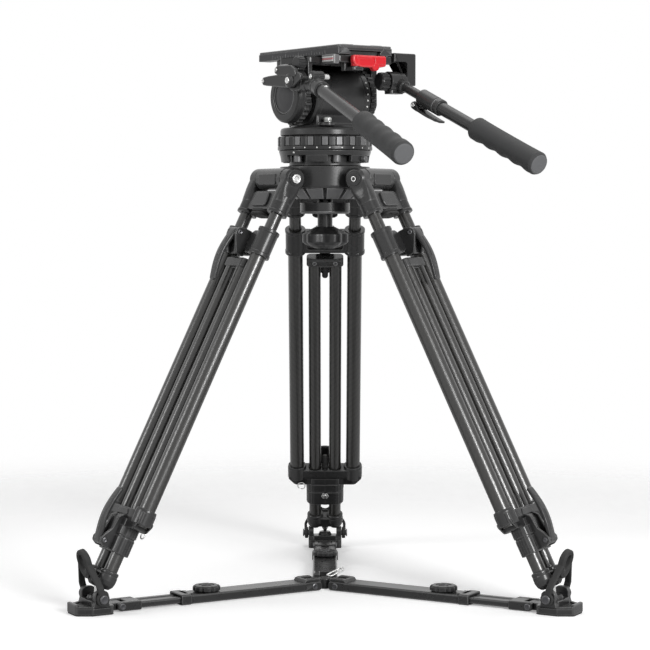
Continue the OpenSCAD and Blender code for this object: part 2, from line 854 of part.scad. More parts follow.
module tilt_cradle() {
    rail_z = platform_top + 5;
    lx = left_pivot[0];
    rx = right_pivot[0];
    color("gray")
        at_tilt() {
            difference() {
                union() {
                    box(-platform_left, platform_right, -platform_back, platform_front,
                        platform_z, platform_top);
                    box(-left_arm_x - 6, right_arm_x + right_arm_t, -24, 24, platform_z, platform_top);
                    plate_yz(right_arm_x, right_arm_x + right_arm_t) {
                        circle(r = 26);
                        translate([-24, 0])
                            square([48, platform_top]);
                    }
                    plate_yz(-left_arm_x - 6, -left_arm_x) {
                        circle(r = 30);
                        translate([-20, 0])
                            square([40, platform_top]);
                    }
                    translate([0, platform_front, 0])
                        rotate([90, 0, 0])
                            linear_extrude(height = platform_front + platform_back)
                                polygon([[-rail_w(platform_top - 1), platform_top - 1],
                                         [rail_w(platform_top - 1), platform_top - 1],
                                         [rail_w(rail_z), rail_z], [-rail_w(rail_z), rail_z]]);
                    box(lock_pin[0] - 10, lock_pin[0] + 10, -80, -72, platform_z - 10, platform_z + 1);
                    box(lock_pin[0] - 8, lock_pin[0] + 8, lock_pin[1] - 6, -72,
                        platform_z - 10, platform_z - 5.5);
                }
                rod_x(shaft_r + pin_gap, -80, 90);
                rod_z(pin_r + 0.05, platform_z - 11, platform_z - 5, x = lock_pin[0], y = lock_pin[1]);
            }
            left_bracket(lx);
            right_bracket(rx);
            rod_x(clamp_pin_r, lx - 17.5, lx + 4, left_pivot[1], left_pivot[2]);
            rod_x(clamp_pin_r, rx - right_disc_w - 12, rx + 10, right_pivot[1], right_pivot[2]);
            rod_z(pin_r, platform_z - 10, platform_top - 1, x = lock_pin[0], y = lock_pin[1]);
        }
}

// arm that carries the left handle clamp, outside the dial, fixed to the platform's side
module left_bracket(lx) {
    y0 = left_pivot[1] - 13;
    y1 = left_pivot[1] + 13;
    difference() {
        union() {
            translate([0, 0, platform_z])
                linear_extrude(height = platform_t - 1.5)
                    polygon([[-36, y0], [lx, y0], [lx - 3, 2], [lx + 5, 8], [-36, -22]]);
            box(lx, lx + 6.4, y0, y1, left_pivot[2], platform_z + 4);
            rod_x(13, lx, lx + 6.4, left_pivot[1], left_pivot[2]);
        }
        box(-platform_left - 0.05, 0, y0 - 1, 20, platform_z - 1, platform_top);
        box(-left_arm_x - 6.05, 0, -24.05, 20, platform_z - 1, platform_top);
        rod_x(clamp_pin_r + 0.05, lx - 1, lx + 4.1, left_pivot[1], left_pivot[2]);
    }
}

// bracket that carries the right handle clamp, behind the right arm, fixed to the platform's side
module right_bracket(rx) {
    y0 = right_pivot[1] - 8;
    y1 = right_pivot[1] + 8;
    difference() {
        union() {
            box(platform_right + 0.05, rx + bracket_t, y0, y1, platform_z + 1, platform_top + 5);
            box(rx, rx + bracket_t, y0, y1, right_pivot[2], platform_top + 5);
            rod_x(12, rx, rx + bracket_t, right_pivot[1], right_pivot[2]);
        }
        rod_x(clamp_pin_r + 0.05, rx - 1, rx + 10.1, right_pivot[1], right_pivot[2]);
    }
}

module camera_plate() {
    z0 = cam_plate_z;
    z1 = z0 + cam_plate_t;
    bevel = 2.5;
    y0 = 2 - cam_plate_l / 2;
    y1 = 2 + cam_plate_l / 2;
    slot_top = z0 + 9.3;
    color("lightgray")
        at_tilt() {
            difference() {
                translate([0, y1, 0])
                    rotate([90, 0, 0])
                        linear_extrude(height = cam_plate_l)
                            polygon([[-cam_plate_w2, z0], [cam_plate_w2, z0], [cam_plate_w2, z1 - bevel],
                                     [cam_plate_w2 - bevel, z1], [bevel - cam_plate_w2, z1],
                                     [-cam_plate_w2, z1 - bevel]]);
                translate([0, y1 + 1, 0])
                    rotate([90, 0, 0])
                        linear_extrude(height = cam_plate_l + 2)
                            polygon([[-rail_w(z0 - 1) - gap, z0 - 1], [rail_w(z0 - 1) + gap, z0 - 1],
                                     [rail_w(z0 + 5) + gap, z0 + 5], [-rail_w(z0 + 5) - gap, z0 + 5]]);
                box(-7.2, 7.2, -48, 62, z0 + 4, slot_top);
                box(-3.6, 3.6, -44, 58, slot_top - 1, z1 + 1);
            }
            for (y = [-8, 24]) {
                rod_z(6.5, z0 + 5.4, slot_top - 0.4, y = y);
                rod_z(3.1, slot_top - 0.5, z1 - 0.4, y = y);
            }
        }
}

// red lever that swings out from under the plate about a standing pin
module plate_lock_lever() {
    z0 = platform_z - 5;
    z1 = platform_top - gap;
    color("red")
        at_tilt()
            translate([lock_pin[0], lock_pin[1], 0])
                difference() {
                    union() {
                        rod_z(6.6, z0, z1);
                        box(0, 40, -6, 2, platform_z + 0.5, z1);
                        box(0, 27, -6, 2, z0, platform_z + 1);
                        rod_y(4, -7.5, -5, 32, platform_z - 1);
                    }
                    rod_z(pin_r + pin_gap, z0 - 1, z1 + 1);
                }
}

module left_handle_bar() {
    x0 = left_pivot[0] - 14.4;
    x1 = left_pivot[0] - 0.4;
    color("gray")
        at_tilt() {
            difference() {
                union() {
                    rod_x(13, x0, x1, left_pivot[1], left_pivot[2]);
                    box(x0, x1, left_pivot[1] - 16, left_pivot[1], left_pivot[2] - 13, left_pivot[2] + 7);
                    rod_y(6.5, elbow[1], left_pivot[1] - 10, elbow[0], elbow[2]);
                    translate(elbow)
                        sphere(r = 9.5);
                }
                rod_x(clamp_pin_r + pin_gap, x0 - 1, x1 + 1, left_pivot[1], left_pivot[2]);
            }
            along(elbow, left_dir) {
                rod_z(bar_d / 2, 9, left_handle_l - grip_l + 20);
                difference() {
                    rod_z(bar_d / 2 + 2.5, 9, 20);
                    rod_z(bar_d / 2 + 0.05, 8, 21);
                }
            }
        }
}

// grip turned from a rounded bar, open at its lower end to take the tube
module grip(tube_r) {
    r = grip_d / 2;
    difference() {
        union() {
            rod_z(r, 3, grip_l - 4);
            cylinder(r1 = r - 3, r2 = r, h = 3);
            translate([0, 0, grip_l - 4])
                cylinder(r1 = r, r2 = r - 3, h = 4);
        }
        rod_z(tube_r + 0.05, -1, 20.1);
    }
}

module left_grip() {
    color("black")
        at_tilt()
            along(elbow, left_dir)
                translate([0, 0, left_handle_l - grip_l])
                    grip(bar_d / 2);
}

module left_clamp_lever() {
    x0 = left_pivot[0] - 20;
    x1 = left_pivot[0] - 14.8;
    color("dimgray")
        at_tilt()
            translate([0, left_pivot[1], left_pivot[2]])
                difference() {
                    union() {
                        rod_x(9.5, x0, x1);
                        plate_yz(x0, x1)
                            polygon([[0, -8], [0, 9], [66, 13], [72, 9.5], [66, 4]]);
                        rod_x(4, x0 - 1, x1, 64, 8.5);
                    }
                    rod_x(clamp_pin_r + pin_gap, x0 + 2, x1 + 1);
                }
}

// arm of the right handle: the clamp disc and the rod that the tube slides on
module right_handle_arm() {
    x0 = right_pivot[0] - right_disc_w;
    x1 = right_pivot[0] - 0.4;
    color("gray")
        at_tilt()
            difference() {
                union() {
                    rod_x(13, x0, x1, right_pivot[1], right_pivot[2]);
                    along(right_start, right_dir) {
                        rod_z(handle_rod_r + 2.4, 6, 20);
                        rod_z(handle_rod_r, 6, handle_rod_l);
                    }
                }
                rod_x(clamp_pin_r + pin_gap, x0 - 1, x1 + 1, right_pivot[1], right_pivot[2]);
            }
}

// tube that slides on the rod, with the clamp collar fixed round its near end
module right_handle_tube() {
    r = handle_tube_d / 2;
    color("darkslategray")
        at_tilt()
            along(right_start, right_dir) {
                difference() {
                    rod_z(r, handle_collar_z, right_handle_l - grip_l + 20);
                    rod_z(r - handle_tube_wall, handle_collar_z - 1, right_handle_l - grip_l + 19);
                }
                difference() {
                    union() {
                        rod_z(r + 2.6, handle_collar_z, handle_collar_z + 41);
                        box(r + 0.6, r + 4.6, -4, 4, handle_collar_z - 2, handle_collar_z + 11);
                        box(r + 0.6, r + 8, -4, 4, handle_collar_z - 10, handle_collar_z);
                    }
                    rod_z(r + 0.05, handle_collar_z - 1, handle_collar_z + 42);
                    rod_y(pin_r + pin_gap, -20, 20, r + 4.5, handle_collar_z - 5);
                }
            }
}

module right_grip() {
    color("black")
        at_tilt()
            along(right_start, right_dir)
                translate([0, 0, right_handle_l - grip_l])
                    grip(handle_tube_d / 2);
}

// lever that lies along the tube and swings out about a pin in the collar's lug
module right_handle_lever() {
    color("silver")
        at_tilt()
            along(right_start, right_dir)
                translate([handle_tube_d / 2 + 4.5, 0, handle_collar_z - 5]) {
                    rod_y(pin_r, -7.5, 7.5);
                    both_sides() {
                        rod_y(4, 4.5, 7.5);
                        box(-1.5, 5.2, 4.5, 7.5, 0, 10);
                    }
                    box(1.2, 5.2, -7.5, 7.5, 7, 54);
                }
}

module right_clamp_knob() {
    x0 = right_pivot[0] - right_disc_w - 13;
    x1 = right_pivot[0] - right_disc_w - 0.4;
    color("black")
        at_tilt()
            translate([0, right_pivot[1], right_pivot[2]])
                difference() {
                    rod_x(11.5, x0, x1);
                    rod_x(clamp_pin_r + pin_gap, x0 + 0.8, x1 + 1);
                    for (i = [0:11])
                        rotate([30 * i, 0, 0])
                            rod_x(1.6, x0 - 1, x1 + 1, 0, 12.2);
                }
}

for (k = [0:2]) {
    leg_yoke(k);
    upper_tubes(k);
    leg_clamps(k);
    outer_tubes(k);
    inner_tubes(k);
    leg_foot(k);
    upper_lever(k);
    lower_lever(k);
    foot_plate(k);
    strap(k);
    arm_channel(k);
    arm_knob(k);
}
crown();
hinge_bolts();
head_base();
tie_down_stud();
tie_down_knob();
pan_drag_ring();
pan_housing();
tilt_barrel();
pan_lock();
counterbalance_dial();
tilt_drag_ring();
tilt_lock();
tilt_cradle();
camera_plate();
plate_lock_lever();
left_clamp_lever();
left_handle_bar();
left_grip();
right_clamp_knob();
right_handle_arm();
right_handle_tube();
right_grip();
right_handle_lever();
spreader_hub();
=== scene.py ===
"""Looks of a video tripod with a fluid head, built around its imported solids."""

import bpy
import numpy as np
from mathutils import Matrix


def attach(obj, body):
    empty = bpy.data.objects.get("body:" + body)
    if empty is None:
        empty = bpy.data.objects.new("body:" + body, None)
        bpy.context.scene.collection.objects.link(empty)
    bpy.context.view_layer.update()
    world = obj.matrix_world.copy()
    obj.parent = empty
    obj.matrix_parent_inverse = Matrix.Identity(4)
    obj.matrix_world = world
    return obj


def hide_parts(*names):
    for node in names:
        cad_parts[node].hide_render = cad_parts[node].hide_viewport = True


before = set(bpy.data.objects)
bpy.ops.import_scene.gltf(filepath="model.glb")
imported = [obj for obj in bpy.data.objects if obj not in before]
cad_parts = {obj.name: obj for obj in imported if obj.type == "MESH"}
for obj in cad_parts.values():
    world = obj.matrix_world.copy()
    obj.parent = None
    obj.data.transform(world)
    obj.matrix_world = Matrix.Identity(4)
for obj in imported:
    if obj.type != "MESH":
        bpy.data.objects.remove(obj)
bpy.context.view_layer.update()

# Sizes of the tripod in millimetres, as in its source
LEGS = {"left": 210.0, "right": 330.0, "rear": 90.0}
LEG_ANGLE = np.radians(26.6)
LEG_LENGTH = 571.5
HINGE_R = 71.0
FOOT_Z = 20.5
HINGE_Z = FOOT_Z + LEG_LENGTH * np.cos(LEG_ANGLE)
FOOT_R = HINGE_R + LEG_LENGTH * np.sin(LEG_ANGLE)
TUBE_Y = 40.0
INNER_Y = 14.2
EYE_IN = TUBE_Y - 7.6
EYE_OUT = TUBE_Y + 10
LUG_Y = EYE_IN - 0.5
CLAMP_W = 72.0
CLAMP_END = 108.0
BOOT_W = LEG_LENGTH - 34.5
COLLAR_END = BOOT_W - 23
COLLAR_W = COLLAR_END - 34
BRACKET_W = COLLAR_W - 28
BRIDGE_W = CLAMP_END + 6
BOOT_R = 11.8
LEVER_X = 23.0
LEVER_L = 66.0
LEVER_W = 15.4
UPPER_PIVOT = -CLAMP_W - 14
LOWER_PIVOT = 9 - COLLAR_END
PLATE_Y = 24.0
PLATE_T = 11.0
PLATE_OUT = 30.0
PLATE_TIP = 13.5
ARM_PIN_R = FOOT_R - 31
ARM_W2 = 16.5
ARM_Z0 = 0.8
ARM_Z1 = 12.0
ARM_MID = (ARM_Z0 + ARM_Z1) / 2
MOUTH_R = 213.0
ARM_END_R = 14.0
BAR_IN = 130.0
KNOB_R = 173.0
STRAP_H = 61.0
STRAP_T = 5.0
STRAP_LEAN = np.radians(16)
BAIL_RISE = np.radians(20)
HEAD_YAW = np.radians(34.5)
BOWL_Z = HINGE_Z + 16.5
SKIRT_Z = BOWL_Z + 5.5
RING_Z = SKIRT_Z + 18.5
RING_H = 14.5
HOUSING_Z = RING_Z + RING_H + 1
HOUSING_TOP = HOUSING_Z + 12.5
BARREL_R = 38.0
BARREL_LEFT = 37.5
BARREL_RIGHT = 46.0
TILT_Z = HOUSING_TOP + BARREL_R - 1.2
PLATFORM_Z = BARREL_R + 1.6
PLATFORM_TOP = PLATFORM_Z + 9.5
PLATE_Z = PLATFORM_TOP + 0.5
DIAL_X = BARREL_LEFT + 7.5
DIAL_END = DIAL_X + 19
RING_X = BARREL_RIGHT + 0.6
RIGHT_ARM_X = RING_X + 9.8
LEFT_PIVOT = np.array([-DIAL_END - 1, -45, 17])
ELBOW = np.array([LEFT_PIVOT[0] - 8, -86, 9.5])
RIGHT_PIVOT = np.array([64.0, -80, 18])
RIGHT_START = RIGHT_PIVOT - [9.2, 0, 0]
LOCK_PIN = np.array([-15.5, -91.2])
RAIL_BACK, RAIL_FRONT = -84.0, 58.0
SLIDE_BACK, SLIDE_FRONT, SLIDE_HALF = -89.5, 93.5, 41.0
VIAL_AT = (-24, -41, 0)
LEFT_L = 270.0
RIGHT_L = 285.0
GRIP_L = 122.0
GRIP_R = 14.5


def direction(fall, splay):
    """Unit vector of a handle: its fall below level and its turn outwards, in degrees."""
    f, s = np.radians(fall), np.radians(splay)
    return np.array([np.sin(s) * np.cos(f), -np.cos(s) * np.cos(f), -np.sin(f)])


LEFT_DIR = direction(19.6, -11.3)
RIGHT_DIR = direction(22.5, 3.2)


# Shapes: each one is (points, own coordinates, four-sided faces, end faces), closed, in millimetres

def fillet(corners, radius, closed=True, steps=4, hold=0.5):
    """Rounds the corners of an outline. Corner P with tangent points S and E becomes the arc ((1-s)^2 S +
    2s(1-s) w P + s^2 E) / ((1-s)^2 + 2s(1-s) w + s^2), where w is the sine of half the corner's angle; a
    holding point on each side keeps the flats flat. The ends of an open outline stay sharp."""
    p = np.asarray(corners, float)
    r = np.maximum(np.broadcast_to(np.asarray(radius, float), len(p)), 0.05)[:, None]
    a, b = np.roll(p, 1, 0) - p, np.roll(p, -1, 0) - p
    la, lb = np.linalg.norm(a, axis=1, keepdims=True), np.linalg.norm(b, axis=1, keepdims=True)
    u, v = a / la, b / lb
    half = np.arccos(np.clip((u * v).sum(1, keepdims=True), -1, 1)) / 2
    t = np.minimum(r / np.tan(np.maximum(half, 0.05)), 0.44 * np.minimum(la, lb))
    w = np.sin(half)[:, :, None]
    s = np.linspace(0, 1, steps + 1)[None, :, None]
    start, end, mid = (p + t * u)[:, None], (p + t * v)[:, None], p[:, None]
    arc = (1 - s) ** 2 * start + 2 * s * (1 - s) * w * mid + s * s * end
    arc = arc / ((1 - s) ** 2 + 2 * s * (1 - s) * w + s * s)
    before = p + np.minimum(t + hold, 0.48 * la) * u
    after = p + np.minimum(t + hold, 0.48 * lb) * v
    ring = np.concatenate([before[:, None], arc, after[:, None]], 1)
    if closed:
        return ring.reshape(-1, p.shape[1])
    return np.concatenate([p[:1], ring[1:-1].reshape(-1, p.shape[1]), p[-1:]])


def turned_out(shape):
    """Shape with every face facing the other way."""
    points, own, quads, caps = shape
    return points, own, quads[:, ::-1], [cap[::-1] for cap in caps]


def skin(rows, ring=False):
    """Shell over rows of points (m, n, 3): each row is a closed loop, neighbouring rows are joined by
    quads, and the first and last rows are filled, or joined to each other in a ring. The sign of its volume
    sets which way the faces point."""
    m, n = rows.shape[:2]
    index = np.arange(m * n).reshape(m, n)
    first = index if ring else index[:-1]
    second = np.roll(index, -1, 0) if ring else index[1:]
    quads = np.stack([first, np.roll(first, -1, 1), np.roll(second, -1, 1), second], -1).reshape(-1, 4)
    points = rows.reshape(-1, 3).astype(float)
    q = points[quads] - points.mean(0)
    volume = np.einsum("ij,ij->", q[:, 0], np.cross(q[:, 1], q[:, 2]) + np.cross(q[:, 2], q[:, 3]))
    caps = [] if ring else [index[0, ::-1], index[-1]]
    for cap in caps:
        c = points[cap] - points.mean(0)
        volume += c[0] @ np.cross(c, np.roll(c, -1, 0)).sum(0)
    shape = points, points.copy(), quads, caps
    return shape if volume > 0 else turned_out(shape)


def circle(n):
    """n points round the unit circle."""
    angle = 2 * np.pi * np.arange(n) / n
    return np.stack([np.cos(angle), np.sin(angle)], -1)


def turned(profile, edge=0.6, n=64, wave=None, ring=False):
    """Turned piece: a profile of (radius, height) corners, rounded by edge, spun about z. With wave the
    radius is multiplied by wave(angle, radius, height). A ring's profile is a closed loop off the axis."""
    p = fillet(profile, edge, closed=ring)
    angle = 2 * np.pi * np.arange(n) / n
    radius = np.repeat(np.maximum(p[:, :1], 0.02), n, 1)
    height = np.repeat(p[:, 1:], n, 1)
    if wave is not None:
        radius = radius * wave(angle[None, :], radius, height)
    rows = np.stack([radius * np.cos(angle), radius * np.sin(angle), height], -1)
    return skin(rows, ring)


def toothed(count, depth, start, low=-1e9, high=1e9):
    """Wave for turned pieces: count square teeth cut depth (a share of the radius) deep where the radius is
    over start and the height between low and high."""
    def wave(angle, radius, height):
        notch = np.clip(0.5 + 2.4 * np.cos(count * angle), 0, 1)
        return 1 - depth * notch * (radius > start) * (height > low) * (height < high)
    return wave


def sector(section, a0, a1, n=16, edge=0.3):
    """Piece of a ring: a closed section of (radius, height) carried round z from angle a0 to a1 in
    degrees."""
    ring = fillet(section, edge)
    angle = np.radians(np.linspace(a0, a1, n))[:, None]
    rows = np.stack([ring[:, 0] * np.cos(angle), ring[:, 0] * np.sin(angle), ring[:, 1] + 0 * angle], -1)
    return skin(rows)


def rod(r, z0, z1, edge=0.6, n=48):
    """Round bar from z0 to z1 with rounded rims."""
    return turned([(0, z0), (r, z0), (r, z1), (0, z1)], edge, n)


def pipe(r, bore, z0, z1, edge=0.4, n=64):
    """Round tube from z0 to z1 with an open bore."""
    return turned([(bore, z0), (r, z0), (r, z1), (bore, z1)], edge, n, ring=True)


def inset(outline, depth):
    """Closed outline moved inwards by depth along its own normals."""
    tangent = np.roll(outline, -1, 0) - np.roll(outline, 1, 0)
    tangent = tangent / np.maximum(np.linalg.norm(tangent, axis=1, keepdims=True), 1e-9)
    normal = np.stack([tangent[:, 1], -tangent[:, 0]], -1)
    return outline - depth * normal


def edge_rows(z0, z1, edge, steps=3, hold=0.5):
    """(inset, height) of the rows of a slab whose two rims are quarter rounds of radius edge."""
    edge = min(edge, 0.45 * (z1 - z0))
    hold = min(hold, 0.2 * (z1 - z0 - 2 * edge) + 0.01)
    a = np.linspace(0, np.pi / 2, steps + 1)
    low = [(edge + 0.5, z0)] + [(edge * (1 - np.sin(x)), z0 + edge * (1 - np.cos(x))) for x in a]
    low.append((0, z0 + edge + hold))
    return low + [(d, z0 + z1 - z) for d, z in low[::-1]]


def prism(outline, z0, z1, edge=0.8, radius=1.5, smooth=False):
    """Slab of a flat outline (counter-clockwise corners, rounded by radius) between z0 and z1 with rounded
    rims."""
    ring = np.asarray(outline, float) if smooth else fillet(outline, radius)
    rows = [np.c_[inset(ring, d), np.full(len(ring), z)] for d, z in edge_rows(z0, z1, edge)]
    return skin(np.array(rows))


def framed(outer, inner, z0, z1, edge=0.8, radius=1.5, smooth=False):
    """Slab with an opening: outline and opening have the same number of corners, and the slab's section
    runs up the outside, across, down the opening and back."""
    big = np.asarray(outer, float) if smooth else fillet(outer, radius)
    small = np.asarray(inner, float) if smooth else fillet(inner, radius)
    rows = [np.c_[inset(big, d), np.full(len(big), z)] for d, z in edge_rows(z0, z1, edge)]
    rows += [np.c_[inset(small, -d), np.full(len(small), z)] for d, z in edge_rows(z0, z1, edge)[::-1]]
    return skin(np.array(rows), ring=True)


def divided(outline, gap=1.5):
    """Closed outline with extra points on its sides, so that none is longer than gap."""
    side = np.roll(outline, -1, 0) - outline
    count = np.maximum(np.ceil(np.linalg.norm(side, axis=1) / gap).astype(int), 1)
    first = np.repeat(np.arange(len(outline)), count)
    step = np.arange(len(first)) - np.repeat(np.cumsum(count) - count, count)
    return outline[first] + side[first] * (step / count[first])[:, None]


def bored(outline, centre, bore, z0, z1, edge=0.6, radius=1.5):
    """Slab with a round hole: the hole's points lie on the rays from its centre to the points of the
    outline."""
    big = divided(fillet(outline, radius))
    ray = big - np.asarray(centre, float)
    small = np.asarray(centre, float) + bore * ray / np.linalg.norm(ray, axis=1, keepdims=True)
    return framed(big, small, z0, z1, edge, smooth=True)


def rect(x0, x1, y0, y1):
    """Corners of a rectangle."""
    return [(x0, y0), (x1, y0), (x1, y1), (x0, y1)]


def block(x0, x1, y0, y1, z0, z1, edge=0.8, radius=1.5):
    """Rectangular block with rounded edges."""
    return prism(rect(x0, x1, y0, y1), z0, z1, edge, radius)


def stadium(r, half, n=24):
    """Outline of two half circles of radius r, their centres half apart from the middle along y."""
    a = np.linspace(0, np.pi, n)
    top = np.stack([r * np.cos(a), half + r * np.sin(a)], -1)
    return np.concatenate([top, -top])


def superellipse(power, n=48):
    """Unit outline |x|^power + |y|^power = 1: a circle at power 2, nearly a square at power 6."""
    c = circle(n)
    return np.sign(c) * np.abs(c) ** (2 / power)


def blended(stations, count):
    """Smooth run through the stations: the cubic through four neighbours, the same in every column."""
    s = np.asarray(stations, float)
    padded = np.concatenate([2 * s[:1] - s[1:2], s, 2 * s[-1:] - s[-2:-1]])
    x = np.linspace(0, len(s) - 1, count)
    i = np.minimum(x.astype(int), len(s) - 2)
    t = (x - i)[:, None]
    a, b, c, d = padded[i], padded[i + 1], padded[i + 2], padded[i + 3]
    return b + 0.5 * t * (c - a + t * (2 * a - 5 * b + 4 * c - d + t * (3 * (b - c) + d - a)))


def loft(stations, count=24, n=48, ends=1.0):
    """Body through stations (z, x, y, half width in x, half width in y, power): superellipse rings on the
    smooth run through them, with ends drawn in by a quarter round."""
    s = blended(stations, count)
    a = np.linspace(0.15, np.pi / 2, 4)[:, None]
    sign = np.sign(s[-1, 0] - s[0, 0])
    head, tail = np.repeat(s[:1], 4, 0), np.repeat(s[-1:], 4, 0)
    for rows, way in ((head, -1), (tail, 1)):
        grow = a if way < 0 else a[::-1]
        rows[:, 3:5] -= ends * (1 - np.sin(grow))
        rows[:, :1] += way * sign * ends * np.cos(grow)
    s = np.concatenate([head, s, tail])
    power = np.maximum(s[:, 5], 1.5)[:, None]
    c = circle(n)[None]
    ring = np.sign(c) * np.abs(c) ** (2 / power[:, :, None])
    x = s[:, 1:2] + s[:, 3:4] * ring[:, :, 0]
    y = s[:, 2:3] + s[:, 4:5] * ring[:, :, 1]
    return skin(np.stack([x, y, np.repeat(s[:, :1], n, 1)], -1))


def strip(path, wide, thick, normal, power=4, n=24, ends=True, ring=False):
    """Bar carried along a flat path: at each point its section is a superellipse, wide along the plane's
    normal and thick across the path; its ends are drawn in to a round."""
    p = np.asarray(path, float)
    wide = np.broadcast_to(np.asarray(wide, float), len(p))[:, None, None]
    thick = np.broadcast_to(np.asarray(thick, float), len(p))[:, None, None]
    if ring:
        tangent = np.roll(p, -1, 0) - np.roll(p, 1, 0)
    else:
        tangent = np.gradient(p, axis=0)
    tangent = tangent / np.linalg.norm(tangent, axis=1, keepdims=True)
    normal = np.asarray(normal, float)
    across = np.cross(tangent, normal)[:, None]
    sec = superellipse(power, n)
    off = wide * sec[None, :, :1] * normal + thick * sec[None, :, 1:] * across
    rows = p[:, None] + off
    if ends and not ring:
        a = np.linspace(0.2, np.pi / 2, 4)[:, None, None]
        reach = thick.mean()
        first = p[0] + off[:1] * np.sin(a) - tangent[0] * reach * np.cos(a)
        last = p[-1] + off[-1:] * np.sin(a[::-1]) + tangent[-1] * reach * np.cos(a[::-1])
        rows = np.concatenate([first, rows, last])
    return skin(rows, ring)


def wire(path, r, normal, ring=False):
    """Round wire along a flat path."""
    return strip(path, r, r, normal, 2, 14, ring=ring)


def lay(shape, axis, at=(0, 0, 0)):
    """Shape built along z laid along another axis: along x its (x, y, z) become (y, z, x), along y they
    become (x, z, y), and then moved to a point."""
    if axis == "y":
        shape = turned_out(shape)
    points, own, quads, caps = shape
    order = {"x": [2, 0, 1], "y": [0, 2, 1], "z": [0, 1, 2]}[axis]
    return points[:, order] + np.asarray(at, float), own, quads, caps


def mirrored(shape, axis=1):
    """Shape seen in a mirror across one axis."""
    points, own, quads, caps = turned_out(shape)
    sign = np.where(np.arange(3) == axis, -1.0, 1.0)
    return points * sign, own, quads, caps


def pair(*shapes):
    """Shapes and their mirror images across y."""
    return list(shapes) + [mirrored(s) for s in shapes]


def placed(shapes, place):
    """Shapes carried from a local frame (rotation, origin) into the tripod's frame."""
    turn, origin = place
    return [(points @ turn.T + origin, own, quads, caps) for points, own, quads, caps in shapes]


def spun(shape, count, start=0.0):
    """Copies of a shape round the z axis."""
    angles = np.radians(start + 360 * np.arange(count) / count)
    return [copy for a in angles for copy in placed([shape], about_z(a))]


def about_z(angle, origin=(0, 0, 0)):
    """Frame turned about the vertical by an angle in radians."""
    c, s = np.cos(angle), np.sin(angle)
    return np.array([[c, -s, 0], [s, c, 0], [0, 0, 1]]), np.asarray(origin, float)


def within(outer, inner):
    """Frame given inside another frame."""
    return outer[0] @ inner[0], outer[0] @ inner[1] + outer[1]


def moved(place, x, y, z):
    """Frame moved to a point that is given in it."""
    return within(place, (np.eye(3), np.array([x, y, z])))


def about_y(angle):
    """Rotation about the y axis by an angle in radians."""
    c, s = np.cos(angle), np.sin(angle)
    return np.array([[c, 0, s], [0, 1, 0], [-s, 0, c]])


def along(start, way):
    """Frame with its z axis along a direction and its x axis pointing down."""
    z = way / np.linalg.norm(way)
    y = np.cross([0, 0, 1], z)
    y = y / np.linalg.norm(y)
    x = np.cross(y, z)
    return np.stack([x, y, z], 1), np.asarray(start, float)


def leg_frame(name):
    """Frame of a leg: x outwards, y across, z up along the leg, origin on the hinge axis."""
    return within(arm_frame(name), (about_y(-LEG_ANGLE), np.array([HINGE_R, 0, HINGE_Z])))


def arm_frame(name):
    """Frame of a spreader arm: x outwards from the hub, z up from the floor."""
    return about_z(np.radians(LEGS[name]))


HEAD = about_z(HEAD_YAW)
TILT = moved(HEAD, 0, 0, TILT_Z)
LEFT_BAR = within(TILT, along(ELBOW, LEFT_DIR))
RIGHT_BAR = within(TILT, along(RIGHT_START, RIGHT_DIR))


# Finishes

def group(name, inputs, outputs):
    """Empty shader node group. An input given as None takes a vector, a number is a value with that
    default, and each output is a value. Returns the tree, its input node and its output node."""
    tree = bpy.data.node_groups.new(name, "ShaderNodeTree")
    for label, value in inputs.items():
        kind = "NodeSocketVector" if value is None else "NodeSocketFloat"
        socket = tree.interface.new_socket(label, in_out="INPUT", socket_type=kind)
        if value is not None:
            socket.default_value = value
    for label in outputs:
        tree.interface.new_socket(label, in_out="OUTPUT", socket_type="NodeSocketFloat")
    return tree, tree.nodes.new("NodeGroupInput"), tree.nodes.new("NodeGroupOutput")


def math_node(tree, operation, a, b=None, clamp=False):
    """Math node on sockets or numbers; returns its output."""
    node = tree.nodes.new("ShaderNodeMath")
    node.operation = operation
    node.use_clamp = clamp
    for socket, value in zip(node.inputs, (a, b)):
        if value is None:
            continue
        if isinstance(value, (int, float)):
            socket.default_value = value
        else:
            tree.links.new(value, socket)
    return node.outputs[0]


def noise(tree, vector, scale, detail=3.0, rough=0.55):
    """Noise on a vector; scale is a number or a socket. Returns its factor."""
    node = tree.nodes.new("ShaderNodeTexNoise")
    node.inputs["Detail"].default_value = detail
    node.inputs["Roughness"].default_value = rough
    tree.links.new(vector, node.inputs["Vector"])
    if isinstance(scale, (int, float)):
        node.inputs["Scale"].default_value = scale
    else:
        tree.links.new(scale, node.inputs["Scale"])
    return node.outputs["Fac"]


def mixed(tree, factor, a, b):
    """Colour mix; a and b are colours or sockets."""
    node = tree.nodes.new("ShaderNodeMix")
    node.data_type = "RGBA"
    tree.links.new(factor, node.inputs["Factor"])
    for label, value in (("A", a), ("B", b)):
        socket = [s for s in node.inputs if s.name == label and s.type == "RGBA"][0]
        if isinstance(value, (tuple, list)):
            socket.default_value = (*value, 1.0)
        else:
            tree.links.new(value, socket)
    return [s for s in node.outputs if s.type == "RGBA"][0]


def grain_group():
    """Grain of a cast, moulded or sprayed surface: Fine is the relief, Tone a slow drift from place to
    place."""
    tree, src, out = group("surface grain", {"Vector": None, "Scale": 900.0}, ["Fine", "Tone"])
    fine = noise(tree, src.outputs["Vector"], src.outputs["Scale"], 2.0, 0.6)
    slow = noise(tree, src.outputs["Vector"],
                 math_node(tree, "MULTIPLY", src.outputs["Scale"], 0.03), 4.0, 0.6)
    tree.links.new(fine, out.inputs["Fine"])
    tree.links.new(slow, out.inputs["Tone"])
    return tree


